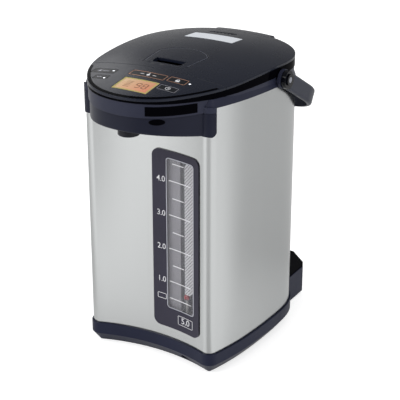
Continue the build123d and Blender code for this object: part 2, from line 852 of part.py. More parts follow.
pin_line = Location((0, lever_shoulder_y, lever_pin_height), (0, 90, 0))
with BuildPart() as lid_skin:
    with BuildSketch(Plane.XY.offset(tool_low)):
        add(lid_plan())
        add(lever_outline(lever_gap, notched=False), mode=Mode.SUBTRACT)
        with Locations((vent_x, vent_y)):
            SlotOverall(vent_width, vent_depth, mode=Mode.SUBTRACT)
        with Locations((0, cap_front_y - part_line)):
            Rectangle(2 * (cap_half_width + part_line), lid_tail, align=(Align.CENTER, Align.MIN), mode=Mode.SUBTRACT)
    extrude(amount=tool_tall)
    add(under_dome, mode=Mode.INTERSECT)
    add(under_skin, mode=Mode.SUBTRACT)
    split(bisect_by=lid_side, keep=Keep.TOP)
with BuildPart() as lever_tray:
    with BuildSketch(Plane.XY.offset(tray_floor - tray_wall)):
        add(lever_outline(lever_gap + tray_wall, notched=False))
    extrude(amount=tool_tall)
    with BuildSketch(Plane.XY.offset(tray_floor)):
        add(lever_outline(lever_gap, notched=False))
    extrude(amount=tool_tall, mode=Mode.SUBTRACT)
    add(dome_block(skin - overlap), mode=Mode.INTERSECT)
    with Locations((0, lever_front_y, tray_floor)):
        Box(2 * latch_half_width + 1, 20, latch_thickness + 2 * gap, align=standing, mode=Mode.SUBTRACT)
with BuildPart() as dish_scoop:
    with BuildSketch(Plane.YZ.offset(-notch_half_width + dish_rim)):
        with BuildLine():
            dish_front = lever_front_y + dish_rim
            dish_edge = dome_height(0, dish_front) + part_line
            dish_top = crown_height + 4
            dish_bottom = crown_height - dish_depth
            Polyline((dish_front, dish_top), (notch_y + 5, dish_top), (notch_y + 5, dish_bottom))
            Spline((notch_y + 5, dish_bottom), (dish_front, dish_edge), tangents=[(-1, 0), (-1, 0.9)])
            Line((dish_front, dish_edge), (dish_front, dish_top))
        make_face()
    extrude(amount=2 * (notch_half_width - dish_rim))
    fillet(dish_scoop.edges().filter_by(Axis.Z).group_by(Axis.Y)[0], radius=dish_corner)
with BuildPart() as finger_dish:
    with BuildSketch(Plane.XY.offset(tray_floor)):
        with Locations((0, notch_y - 1)):
            Rectangle(2 * (notch_half_width - part_line), notch_y - 1 - lever_front_y, align=(Align.CENTER, Align.MAX))
    extrude(amount=tool_tall)
    add(under_dome, mode=Mode.INTERSECT)
    add(dish_scoop.part, mode=Mode.SUBTRACT)
    with Locations((0, lever_front_y, tray_floor)):
        Box(2 * latch_half_width + 1, 60, latch_thickness + 2 * gap, align=standing, mode=Mode.SUBTRACT)
with BuildPart() as lid_cover:
    add(lid_skin.part)
    add(lever_tray.part)
    add(finger_dish.part)
    with Locations(pin_line):
        Cylinder(lever_pin_radius + running_gap, 2 * (lever_half_rear + wall), mode=Mode.SUBTRACT)
pieces["lid_cover"] = lid_cover

with BuildPart() as lid_rim:
    with BuildSketch(Plane.XY.offset(tool_low)):
        add(lid_plan())
        add(lid_plan(rim_wall), mode=Mode.SUBTRACT)
    extrude(amount=tool_tall)
    add(under_skin, mode=Mode.INTERSECT)
    split(bisect_by=lid_seam_plane, keep=Keep.TOP)
    split(bisect_by=lid_side, keep=Keep.TOP)
with BuildPart() as hinge_arms:
    for side in (-1, 1):
        middle = side * (middle_barrel + gap + outer_barrel) / 2
        length = outer_barrel - middle_barrel - gap
        with Locations(Location((middle, hinge_y, hinge_z), (0, 90, 0))):
            Cylinder(barrel_radius, length)
        with Locations((middle, hinge_y - 1, hinge_z)):
            Box(length, 2 * barrel_radius - 3, arm_top - hinge_z, align=standing)
with BuildPart() as lid_rim_whole:
    add(lid_rim.part)
    with Locations(hinge_line):
        Cylinder(barrel_radius + 2 * gap, 2 * (middle_barrel + gap), mode=Mode.SUBTRACT)
    add(hinge_arms.part)
    with Locations(hinge_line):
        Cylinder(hinge_pin_radius + running_gap, 4 * outer_barrel, mode=Mode.SUBTRACT)
pieces["lid_rim"] = lid_rim_whole

with BuildPart() as hinge_pin:
    with Locations(hinge_line):
        Cylinder(hinge_pin_radius, 2 * outer_barrel)
pieces["hinge_pin"] = hinge_pin

with BuildPart() as cap_plate:
    with BuildSketch(Plane.XY.offset(hinge_z)):
        with Locations((0, cap_front_y)):
            Rectangle(2 * cap_half_width, hinge_y - cap_front_y, align=(Align.CENTER, Align.MIN))
    extrude(amount=tool_tall)
    add(under_dome, mode=Mode.INTERSECT)
    add(under_skin, mode=Mode.SUBTRACT)
with BuildPart() as hinge_cap:
    with Locations((0, cap_box_y, hinge_z + part_line)):
        Box(2 * cap_half_width, cap_rear_y - cap_box_y, crown_height - hinge_z, align=(Align.CENTER, Align.MIN, Align.MIN))
    add(under_dome, mode=Mode.INTERSECT)
    rear_edge = hinge_cap.edges().group_by(Axis.Y)[-1].group_by(Axis.Z)[-1]
    fillet(rear_edge, radius=cap_corner)
    add(cap_plate.part)
    with BuildPart(mode=Mode.PRIVATE) as hollow:
        with BuildSketch(Plane.YZ.offset(-cap_half_width + cap_thickness)):
            cap_inside = cap_rear_y - cap_thickness
            Polygon((cap_box_y - 1, hinge_z - 1), (cap_inside, hinge_z - 1), (cap_inside, cap_shelf - 2),
                    (cap_inside - 3, cap_shelf), (cap_box_y - 1, cap_shelf), align=None)
        extrude(amount=2 * (cap_half_width - cap_thickness))
        add(under_skin, mode=Mode.INTERSECT)
    add(hollow.part, mode=Mode.SUBTRACT)
pieces["hinge_cap"] = hinge_cap

with BuildPart() as liner_plate:
    with BuildSketch(Plane.XY.offset(tool_low)):
        add(lid_plan(rim_wall + gap))
    extrude(amount=tool_tall)
    add(under_skin, mode=Mode.INTERSECT)
    split(bisect_by=lid_seam_plane, keep=Keep.TOP)
    split(bisect_by=lid_side, keep=Keep.TOP)
    split(bisect_by=tilted(seam_height, seam_slope, seam_gap + liner_thickness), keep=Keep.BOTTOM)
with BuildPart() as front_rib:
    with BuildSketch(Plane.XY.offset(tool_low)):
        add(lid_plan(rim_wall + gap))
        with Locations((0, split_y + part_line / 2)):
            Rectangle(2 * lid_half_width, wall, align=(Align.CENTER, Align.MIN), mode=Mode.INTERSECT)
    extrude(amount=tool_tall)
    add(dome_block(skin + gap), mode=Mode.INTERSECT)
    split(bisect_by=lid_seam_plane, keep=Keep.TOP)
    with Locations((0, split_y, latch_height + latch_thickness / 2)):
        Box(2 * latch_half_width + 1, 20, latch_thickness + 2 * gap, mode=Mode.SUBTRACT)
with BuildPart() as lid_liner:
    add(liner_plate.part)
    add(front_rib.part)
    with BuildSketch(Plane(origin=(0, vessel_y, insert_bottom))):
        Circle(insert_radius)
    extrude(amount=seam_height - insert_bottom)
    with BuildSketch(Plane(origin=(0, vessel_y, insert_bottom + wall))):
        Circle(insert_radius - wall)
    extrude(amount=tool_tall, mode=Mode.SUBTRACT)
    with Locations((vent_x, duct_y, insert_bottom)):
        Cylinder(duct_bore, 4 * wall, mode=Mode.SUBTRACT)
pieces["lid_liner"] = lid_liner

with BuildPart() as inner_lid:
    with BuildSketch(Plane(origin=(0, vessel_y, insert_bottom - gap))):
        Circle(inner_lid_radius)
    extrude(amount=-inner_lid_plate)
    with BuildSketch(Plane(origin=(0, vessel_y, insert_bottom - gap - inner_lid_plate))):
        Circle(inner_lid_radius - inner_lid_margin)
    extrude(amount=-inner_lid_step)
    fillet(inner_lid.edges().sort_by(Axis.Z)[0], radius=2)
    with Locations((vent_x, duct_y - 6, insert_bottom)):
        Cylinder(duct_bore - 1, 4 * inner_lid_step, mode=Mode.SUBTRACT)
pieces["inner_lid"] = inner_lid

with BuildPart() as lid_gasket:
    with BuildSketch(Plane(origin=(0, vessel_y, flange_height + gap))):
        Circle(mouth_radius - gasket_clearance)
        Circle(inner_lid_radius + 2 * running_gap, mode=Mode.SUBTRACT)
    extrude(amount=seal_height - 2 * gap)
    fillet(lid_gasket.edges().group_by(Axis.Z)[0], radius=0.8)
pieces["lid_gasket"] = lid_gasket

with BuildPart() as steam_duct:
    with BuildSketch(Plane(origin=(vent_x, duct_y, insert_bottom + wall + gap))):
        Circle(duct_radius)
        Circle(duct_bore, mode=Mode.SUBTRACT)
    extrude(amount=tool_tall)
    add(dome_block(skin + gap), mode=Mode.INTERSECT)
pieces["steam_duct"] = steam_duct

with BuildPart() as vent_grille:
    with BuildSketch(Plane.XY.offset(tool_low)):
        with Locations((vent_x, vent_y)):
            SlotOverall(vent_width - 2 * gap, vent_depth - 2 * gap)
            with GridLocations((vent_width - vent_depth) / slot_count, 1, slot_count, 1):
                Rectangle(slot_width, vent_depth - slot_margin, mode=Mode.SUBTRACT)
    extrude(amount=tool_tall)
    add(dome_block(grille_sink), mode=Mode.INTERSECT)
    add(dome_block(grille_sink + grille_thickness), mode=Mode.SUBTRACT)
pieces["vent_grille"] = vent_grille

with BuildPart() as blank_label:
    with BuildSketch(Plane.XY.offset(tool_low)):
        with Locations((label_x, label_y)):
            RectangleRounded(label_width, label_depth, 1)
    extrude(amount=tool_tall)
    add(dome_block(-label_lift - label_thickness), mode=Mode.INTERSECT)
    add(dome_block(-label_lift), mode=Mode.SUBTRACT)
pieces["blank_label"] = blank_label

with BuildPart() as lid_lever:
    with BuildSketch(Plane.XY.offset(tool_low)):
        add(lever_outline())
    extrude(amount=tool_tall)
    add(dome_block(lever_thickness), mode=Mode.SUBTRACT)
    for side in (-1, 1):
        lug_middle = side * (lever_half_rear - lug_inset - lug_width / 2)
        with Locations(Location((lug_middle, lever_shoulder_y, lever_pin_height), (0, 90, 0))):
            Cylinder(lug_radius, lug_width)
    add(under_dome, mode=Mode.INTERSECT)
    with Locations(pin_line):
        Cylinder(lever_pin_radius + running_gap, 2 * lever_half_rear, mode=Mode.SUBTRACT)
pieces["lid_lever"] = lid_lever

with BuildPart() as lever_pin:
    with Locations(pin_line):
        Cylinder(lever_pin_radius, 2 * (lever_half_rear + 1.5))
pieces["lever_pin"] = lever_pin

with BuildPart() as latch_bolt:
    with BuildSketch(Plane.XY.offset(latch_height)):
        with Locations((0, split_y + gap)):
            Rectangle(2 * latch_half_width, latch_tail_y - split_y - gap, align=(Align.CENTER, Align.MIN))
    extrude(amount=latch_thickness)
    nose = latch_bolt.edges().filter_by(Axis.X).group_by(Axis.Y)[0].sort_by(Axis.Z)[0]
    chamfer(nose, length=latch_chamfer)
pieces["latch_bolt"] = latch_bolt

# ---------------------------------------------------------------- bail handle
droop = radians(bail_droop)
bail_plane = Plane(origin=(0, pivot_y, pivot_z), x_dir=(1, 0, 0), z_dir=(0, sin(droop), cos(droop)))
arm_outer = arm_inner + arm_thickness
with BuildPart() as bail:
    with BuildSketch(bail_plane):
        Rectangle(2 * arm_outer, bail_reach + arm_thickness / 2, align=(Align.CENTER, Align.MIN))
        fillet(vertices().sort_by(Axis.Y)[-2:], radius=bail_corner + arm_thickness / 2)
    extrude(amount=band_width / 2, both=True)
    band_edges = bail.faces().filter_by(bail_plane).edges().sort_by_distance((0, pivot_y, pivot_z))[2:]
    fillet(band_edges, radius=band_edge)
    with BuildSketch(bail_plane):
        Rectangle(2 * arm_inner, bail_reach - arm_thickness / 2, align=(Align.CENTER, Align.MIN))
        fillet(vertices().sort_by(Axis.Y)[-2:], radius=bail_corner - arm_thickness / 2)
    extrude(amount=band_width, both=True, mode=Mode.SUBTRACT)
    for side in (-1, 1):
        eye = Location((side * (arm_inner + arm_thickness / 2), pivot_y, pivot_z), (0, 90, 0))
        with Locations(eye):
            Cylinder(band_width / 2, arm_thickness)
            Cylinder(pivot_pin_radius + running_gap, 2 * arm_thickness, mode=Mode.SUBTRACT)
pieces["bail"] = bail

grip_plane = Plane(origin=bail_plane.from_local_coords((-grip_half_length, bail_reach, 0)), x_dir=bail_plane.y_dir,
                   z_dir=(1, 0, 0))
with BuildPart() as bail_grip:
    with BuildSketch(grip_plane):
        RectangleRounded(grip_thickness, grip_width, grip_corner)
        Rectangle(arm_thickness + 2 * running_gap, band_width + 2 * running_gap, mode=Mode.SUBTRACT)
    extrude(amount=2 * grip_half_length)
pieces["bail_grip"] = bail_grip

with BuildPart() as pivot_pins:
    for side in (-1, 1):
        pin_start = shell_half_width + 2 * gap
        with Locations(Location((side * pin_start, pivot_y, pivot_z), (0, side * 90, 0))):
            Cylinder(pivot_pin_radius, arm_outer + gap - pin_start, align=standing)
        with Locations(Location((side * (arm_outer + gap), pivot_y, pivot_z), (0, side * 90, 0))):
            Cylinder(pin_cap_radius, pin_cap_thickness, align=standing)
pieces["pivot_pins"] = pivot_pins

# ---------------------------------------------------------------- water vessel
profile_plane = Plane(origin=(0, vessel_y, 0), x_dir=(1, 0, 0), z_dir=(0, -1, 0))
vessel_line = Axis((0, vessel_y, 0), (0, 0, 1))
outer_radius = vessel_radius + vessel_wall
with BuildPart() as inner_vessel:
    with BuildSketch(profile_plane):
        with BuildLine():
            Polyline(
                (0, vessel_bottom),
                (outer_radius, vessel_bottom),
                (outer_radius, vessel_shoulder),
                (neck_radius + vessel_wall, neck_bottom),
                (neck_radius + vessel_wall, flange_height - vessel_wall),
                (flange_radius, flange_height - vessel_wall),
                (flange_radius, flange_height),
                (neck_radius, flange_height),
                (neck_radius, neck_bottom - 0.5),
                (vessel_radius, vessel_shoulder - 0.5),
                (vessel_radius, vessel_bottom + vessel_wall),
                (0, vessel_bottom + vessel_wall),
                (0, vessel_bottom),
            )
        make_face()
        fillet(vertices().group_by(Axis.Y)[0].sort_by(Axis.X)[-1], radius=vessel_corner + vessel_wall)
        fillet(vertices().group_by(Axis.Y)[1].sort_by(Axis.X)[-1], radius=vessel_corner)
    revolve(axis=vessel_line)
    with Locations((pump_x, pump_y, pump_top + stub_length + stub_break)):
        Cylinder(stub_radius, vessel_bottom - pump_top - stub_length - stub_break + overlap, align=standing)
        Cylinder(stub_bore, vessel_bottom, align=standing, mode=Mode.SUBTRACT)
pieces["inner_vessel"] = inner_vessel

jacket_inner = outer_radius + glue_line
with BuildPart() as vacuum_jacket:
    with BuildSketch(profile_plane):
        with BuildLine():
            Polyline(
                (jacket_inner, jacket_bottom + jacket_wall),
                (jacket_inner, jacket_bottom),
                (jacket_radius, jacket_bottom),
                (jacket_radius, jacket_top),
                (jacket_inner, jacket_top),
                (jacket_inner, jacket_top - jacket_wall),
                (jacket_radius - jacket_wall, jacket_top - jacket_wall),
                (jacket_radius - jacket_wall, jacket_bottom + jacket_wall),
                (jacket_inner, jacket_bottom + jacket_wall),
            )
        make_face()
    revolve(axis=vessel_line)
pieces["vacuum_jacket"] = vacuum_jacket

with BuildPart() as vessel_collar:
    with BuildSketch(Plane(origin=(0, vessel_y, flange_height + gap))):
        Circle(mouth_radius + collar_width)
        Circle(mouth_radius, mode=Mode.SUBTRACT)
    extrude(amount=tool_tall)
    split(bisect_by=tilted(shell_top_height, shell_top_slope, -glue_line), keep=Keep.BOTTOM)
pieces["vessel_collar"] = vessel_collar

with BuildPart() as vessel_seat:
    with BuildSketch(Plane(origin=(0, vessel_y, seat_height))):
        Circle(seat_ring_radius + seat_rim)
    extrude(amount=seat_thickness)
    with BuildSketch(Plane(origin=(0, vessel_y, seat_height))):
        Circle(seat_ring_radius)
        Circle(seat_ring_radius - wall, mode=Mode.SUBTRACT)
    extrude(amount=vessel_bottom - gap - seat_height)
    with Locations((pump_x, pump_y, seat_height)):
        Cylinder(stub_radius + 3.5, 4 * seat_thickness, mode=Mode.SUBTRACT)
pieces["vessel_seat"] = vessel_seat

with BuildPart() as heater_plate:
    with BuildSketch(Plane(origin=(0, vessel_y, vessel_bottom - gap))):
        Circle(heater_radius)
    extrude(amount=-heater_thickness)
pieces["heater_plate"] = heater_plate

with BuildPart() as thermostats:
    with BuildSketch(Plane(origin=(0, vessel_y, vessel_bottom - 2 * gap - heater_thickness))):
        with Locations((-thermostat_x, 0), (thermostat_x, 0)):
            Circle(thermostat_radius)
    extrude(amount=-thermostat_height)
pieces["thermostats"] = thermostats

# ---------------------------------------------------------------- pump and hoses
reach = hypot(tube_x - pump_x, tube_y - pump_y)
aim = Vector((tube_x - pump_x) / reach, (tube_y - pump_y) / reach, 0)
pump_centre = Vector(pump_x, pump_y, outlet_height)
outlet_plane = Plane(origin=pump_centre + aim * (pump_radius - 1.5 * pump_wall), z_dir=aim)
with BuildPart() as pump_housing:
    with Locations((pump_x, pump_y, pump_bottom)):
        Cylinder(pump_radius, pump_top - pump_bottom, align=standing)
    with Locations((pump_x, pump_y, pump_top)):
        Cylinder(stub_radius, stub_length, align=standing)
    with BuildSketch(outlet_plane):
        Circle(nozzle_radius)
    extrude(amount=nozzle_length + 1.5 * pump_wall)
    with BuildSketch(outlet_plane):
        Circle(nozzle_bore)
    extrude(amount=2 * nozzle_length, mode=Mode.SUBTRACT)
    with Locations((pump_x, pump_y, pump_top - 2 * pump_wall)):
        Cylinder(stub_bore, 2 * stub_length, align=standing, mode=Mode.SUBTRACT)
    with Locations((pump_x, pump_y, pump_bottom + pump_wall)):
        Cylinder(pump_radius - 1.5 * pump_wall, pump_height - 2 * pump_wall, align=standing, mode=Mode.SUBTRACT)
    with Locations((pump_x, pump_y, pump_bottom + pump_wall / 2)):
        Cylinder(axle_radius, impeller_height + pump_wall, align=standing)
pieces["pump_housing"] = pump_housing

impeller_bottom = pump_bottom + pump_wall + gap
with BuildPart() as impeller:
    with Locations((pump_x, pump_y, impeller_bottom)):
        Cylinder(impeller_radius, impeller_plate, align=standing)
        Cylinder(impeller_hub, impeller_height, align=standing)
        with PolarLocations(0, blade_count):
            with Locations((impeller_radius / 2 + 1, 0, impeller_plate - overlap)):
                Box(impeller_radius - 3, blade_thickness, blade_height, align=standing)
        Cylinder(axle_radius + running_gap, 4 * impeller_height, mode=Mode.SUBTRACT)
pieces["impeller"] = impeller

with BuildPart() as pump_motor:
    with Locations((pump_x, pump_y, motor_bottom)):
        Cylinder(motor_radius, motor_height, align=standing)
    fillet(pump_motor.edges().group_by(Axis.Z)[0], radius=motor_foot)
pieces["pump_motor"] = pump_motor

with BuildPart() as suction_hose:
    with BuildSketch(Plane(origin=(pump_x, pump_y, pump_top + 1))):
        Circle(stub_radius + 2)
        Circle(stub_radius + running_gap, mode=Mode.SUBTRACT)
    extrude(amount=2 * stub_length - 3)
pieces["suction_hose"] = suction_hose

riser_start = pump_centre + aim * (pump_radius + 1)
with BuildPart() as riser_hose:
    with BuildLine():
        riser_corner = (tube_x, tube_y, outlet_height)
        FilletPolyline(riser_start, riser_corner, (tube_x, tube_y, tube_bottom + tube_socket), radius=12)
    with BuildSketch(Plane(origin=riser_start, z_dir=aim)):
        Circle(nozzle_radius + 2)
        Circle(nozzle_radius + running_gap, mode=Mode.SUBTRACT)
    sweep()
    with Locations((tube_x, tube_y, tube_bottom - gap)):
        Cylinder(tube_radius + running_gap, 2 * tube_socket, align=standing, mode=Mode.SUBTRACT)
pieces["riser_hose"] = riser_hose

delivery_start = (tube_x, tube_y, tube_top - tube_top_socket)
with BuildPart() as delivery_hose:
    with BuildLine():
        FilletPolyline(
            delivery_start,
            (tube_x, tube_y, hose_run_height),
            (tube_x / 4, spout_y + 23, hose_run_height),
            (0, spout_y, hose_run_height),
            (0, spout_y, hose_end),
            radius=[11, 12, hose_bend],
        )
    with BuildSketch(Plane(origin=delivery_start)):
        Circle(hose_radius)
        Circle(hose_bore, mode=Mode.SUBTRACT)
    sweep()
    with Locations(delivery_start):
        Cylinder(tube_radius + running_gap, tube_top_socket + gap, align=standing, mode=Mode.SUBTRACT)
pieces["delivery_hose"] = delivery_hose

# ---------------------------------------------------------------- level gauge
with BuildPart() as sight_tube:
    with BuildSketch(Plane(origin=(tube_x, tube_y, tube_bottom))):
        Circle(tube_radius)
        Circle(tube_bore, mode=Mode.SUBTRACT)
    extrude(amount=tube_top - tube_bottom)
pieces["sight_tube"] = sight_tube

post_top = float_rest - float_radius - gap
with BuildPart() as float_post:
    with Locations((tube_x, tube_y, tube_bottom + 1)):
        Cylinder(post_radius, post_top - tube_bottom - 1, align=standing)
        Box(2 * (tube_bore - 0.1), 1.2, 2, align=standing)
        Box(1.2, 2 * (tube_bore - 0.1), 2, align=standing)
pieces["float_post"] = float_post

with BuildPart() as level_float:
    with Locations((tube_x, tube_y, float_rest)):
        Sphere(float_radius)
pieces["level_float"] = level_float


def front_slab(left, right, low, top, corner, outset, inset):
    """Slab that follows the hollow front, between two offsets of the shell's outside."""
    with BuildPart() as slab:
        with BuildSketch(front_wall):
            with Locations(((left + right) / 2, (low + top) / 2)):
                RectangleRounded(right - left, top - low, corner)
        extrude(amount=front_depth)
        add(prism(body_plan(-outset), 0, seam_height), mode=Mode.INTERSECT)
        add(prism(body_plan(inset), 0, seam_height), mode=Mode.SUBTRACT)
    return slab.part


with BuildPart() as gauge_frame:
    add(front_slab(gauge_left, gauge_right, gauge_low, gauge_high, gauge_corner, gauge_proud, -glue_line))
    add(front_slab(window_left, window_right, window_low, window_high, window_corner, gauge_proud + 1, 3),
        mode=Mode.SUBTRACT)
pieces["gauge_frame"] = gauge_frame

with BuildPart() as gauge_window:
    add(front_slab(window_left + window_fit, window_right - window_fit, window_low + window_fit,
                   window_high - window_fit, window_corner, window_proud, shell_thickness))
pieces["gauge_window"] = gauge_window



def channel_section(inset):
    """Section of the channel behind the window, stepped back to take the sight tube."""
    left, right, front = channel_left + inset, channel_right - inset, -hollow_y - 20
    shallow, deep, step = tube_y - inset, channel_back_y - inset, channel_step_x + inset
    return [(left, front), (right, front), (right, deep), (step, deep), (step, shallow), (left, shallow)]


with BuildPart() as gauge_channel:
    with BuildSketch(Plane.XY.offset(channel_low)):
        Polygon(*channel_section(0), align=None)
    extrude(amount=channel_high - channel_low)
    with BuildSketch(Plane.XY.offset(channel_low + channel_wall)):
        Polygon(*channel_section(channel_wall), align=None)
    extrude(amount=channel_high - channel_low - 2 * channel_wall, mode=Mode.SUBTRACT)
    add(prism(body_plan(shell_thickness + gap), 0, seam_height), mode=Mode.INTERSECT)
    with Locations((tube_x, tube_y, channel_low)):
        Cylinder(tube_radius + running_gap, 2 * seam_height, mode=Mode.SUBTRACT)
pieces["gauge_channel"] = gauge_channel

# ---------------------------------------------------------------- power board and inlet
power_board_low = base_floor + power_post_height
with BuildPart() as power_board:
    with Locations((0, power_board_y, power_board_low)):
        Box(power_board_width, power_board_depth, board_thickness, align=standing)
    with Locations((-14, power_board_y, power_board_low)):
        Box(26, 24, 15.6, align=standing)
    with Locations((18, power_board_y + 4, power_board_low)):
        Cylinder(6, 13.6, align=standing)
pieces["power_board"] = power_board

rear_base = prism(body_plan(-base_flare - gap), 0, base_height + gap)
rear_shell = prism(body_plan(-gap), 0, hood_peak + 10)
hood_front = shell_tail - 35
with BuildPart() as inlet_hood:
    with BuildSketch(Plane.YZ.offset(hood_left)):
        Polygon((hood_front, hood_bottom), (hood_rear, hood_bottom), (hood_rear, hood_top), (hood_front, hood_top),
                align=None)
    extrude(amount=hood_right - hood_left)
    fillet(inlet_hood.edges().filter_by(Axis.Z).group_by(Axis.Y)[-1], radius=hood_corner)
    with Locations((bay_left, hood_front, bay_low)):
        Box(bay_right - bay_left, hood_rear, bay_high - bay_low, align=Align.MIN, mode=Mode.SUBTRACT)
    add(rear_base, mode=Mode.SUBTRACT)
    add(rear_shell, mode=Mode.SUBTRACT)
pieces["inlet_hood"] = inlet_hood

with BuildPart() as hood_top_wedge:
    with BuildSketch(Plane.YZ.offset(hood_left + hood_top_inset)):
        Polygon(
            (hood_front, hood_top + hood_line),
            (hood_rear - 1, hood_top + hood_line),
            (hood_rear - 1, hood_peak - hood_slope_drop),
            (hood_rear - 1 - hood_slope_length, hood_peak),
            (hood_front, hood_peak),
            align=None,
        )
    extrude(amount=hood_right - hood_left - 2 * hood_top_inset)
    add(rear_shell, mode=Mode.SUBTRACT)
pieces["hood_top"] = hood_top_wedge

with BuildPart() as inlet_socket:
    with Locations((bay_left + gap, socket_rear - socket_depth, bay_low + gap)):
        Box(bay_right - bay_left - 2 * gap, socket_depth, bay_high - bay_low - 2 * gap, align=Align.MIN)
    fillet(inlet_socket.edges().filter_by(Axis.Y), radius=socket_corner)
pieces["inlet_socket"] = inlet_socket

contact_height = (bay_low + bay_high) / 2
with BuildPart() as contact_pins:
    contact_origin = ((bay_left + bay_right) / 2, socket_rear, contact_height)
    with BuildSketch(Plane(origin=contact_origin, x_dir=(1, 0, 0), z_dir=(0, 1, 0))):
        with GridLocations(contact_spacing, 1, 2, 1):
            Circle(contact_radius)
    extrude(amount=contact_length)
pieces["contact_pins"] = contact_pins

os.makedirs("parts", exist_ok=True)
middle_of_length = Location((0, (lid_nose - hood_rear) / 2, 0))
for name, builder in pieces.items():
    part = builder.part.moved(middle_of_length)
    part.label = name
    export_step(part, f"parts/{name}.step")
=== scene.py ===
# %% [markdown]
# # An electric thermo pot
# The CAD model already has every part at its real size. This notebook dresses it: it gives each part the
# finish that it has on the real pot, and adds what is printed or lit on it. The frame is loaded
# first, because every later step takes its places from it.

# %% Load the imported model
import json
from math import cos, pi, radians, sin

import bpy
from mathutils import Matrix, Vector


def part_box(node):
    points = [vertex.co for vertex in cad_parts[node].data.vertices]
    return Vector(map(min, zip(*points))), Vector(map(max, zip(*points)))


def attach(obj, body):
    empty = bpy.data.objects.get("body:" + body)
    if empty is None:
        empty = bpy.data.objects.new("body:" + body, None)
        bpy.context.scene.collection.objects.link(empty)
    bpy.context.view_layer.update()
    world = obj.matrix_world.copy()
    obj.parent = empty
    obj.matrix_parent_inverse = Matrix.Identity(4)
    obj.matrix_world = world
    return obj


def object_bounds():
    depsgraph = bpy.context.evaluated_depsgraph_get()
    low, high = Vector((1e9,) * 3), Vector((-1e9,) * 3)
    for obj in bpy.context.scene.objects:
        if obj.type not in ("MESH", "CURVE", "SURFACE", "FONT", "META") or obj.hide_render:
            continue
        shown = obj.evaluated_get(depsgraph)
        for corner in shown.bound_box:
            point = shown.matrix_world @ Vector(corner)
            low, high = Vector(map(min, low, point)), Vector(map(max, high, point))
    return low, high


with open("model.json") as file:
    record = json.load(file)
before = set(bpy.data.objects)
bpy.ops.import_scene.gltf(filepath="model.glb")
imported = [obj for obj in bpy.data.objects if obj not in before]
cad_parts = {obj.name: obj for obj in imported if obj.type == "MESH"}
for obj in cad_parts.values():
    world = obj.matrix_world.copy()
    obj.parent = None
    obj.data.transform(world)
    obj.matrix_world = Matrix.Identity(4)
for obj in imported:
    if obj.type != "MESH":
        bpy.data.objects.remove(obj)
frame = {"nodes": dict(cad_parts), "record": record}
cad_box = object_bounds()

mm = 0.001
nodes = frame["nodes"]
crown = cad_box[1].z
print("The model has", len(nodes), "nodes and is", round(crown / mm), "mm tall")

# %% [markdown]
# ## Camera
# A product picture is taken from a little above and to the right of the spout, with a long lens, so that the
# upright edges stay nearly parallel. The camera is placed by two angles and a distance from a point near the
# middle of the pot, which is easier to reason about than three coordinates.

# %% Set up the camera
view_azimuth = radians(30.8)
view_elevation = radians(23.32)
view_distance = 1494 * mm
aim = Vector((10.1, 2.3, 166.0)) * mm
sensor_width = 36
focal_length = 115.4
level = cos(view_elevation)
towards_camera = Vector((sin(view_azimuth) * level, -cos(view_azimuth) * level, sin(view_elevation)))

bpy.ops.object.camera_add(location=aim + towards_camera * view_distance)
camera = bpy.context.object
camera.rotation_euler = towards_camera.to_track_quat("Z", "Y").to_euler()
camera.data.sensor_width = sensor_width
camera.data.lens = focal_length
bpy.context.scene.camera = camera
print("Camera at", [round(value, 3) for value in camera.location])

# %% [markdown]
# ## Writing shader maths as sums
# A material is a graph of nodes. Long graphs are hard to read as code, so one small class wraps a socket and
# lets a sum such as `1 - mask * 0.3` add the Math nodes. A second class holds one finish, and a single method
# of it adds any other node.

# %% A socket that can be used in sums
class Wire:
    """One output socket of a finish. Sums on it add Math nodes."""

    def __init__(self, finish, socket):
        self.finish = finish
        self.socket = socket

    def maths(self, operation, first, second):
        return self.finish.node("ShaderNodeMath", [first, second], operation=operation)

    def __add__(self, other):
        return self.maths("ADD", self, other)

    def __radd__(self, other):
        return self.maths("ADD", other, self)

    def __sub__(self, other):
        return self.maths("SUBTRACT", self, other)

    def __rsub__(self, other):
        return self.maths("SUBTRACT", other, self)

    def __mul__(self, other):
        return self.maths("MULTIPLY", self, other)

    def __rmul__(self, other):
        return self.maths("MULTIPLY", other, self)

    def __lt__(self, other):
        return self.maths("LESS_THAN", self, other)


# %% Colours
def paint(red, green, blue):
    """A screen colour, 0 to 255 a channel, as the linear colour that a shader takes."""
    linear = [((channel / 255 + 0.055) / 1.055) ** 2.4 for channel in (red, green, blue)]
    return (*linear, 1.0)


def darker(colour, share):
    """The same colour with only a share of its light."""
    return tuple(channel * share for channel in colour[:3]) + (1.0,)


print("Pure white is", paint(255, 255, 255))

# %% A finish: one material and its nodes
edge_samples = 6


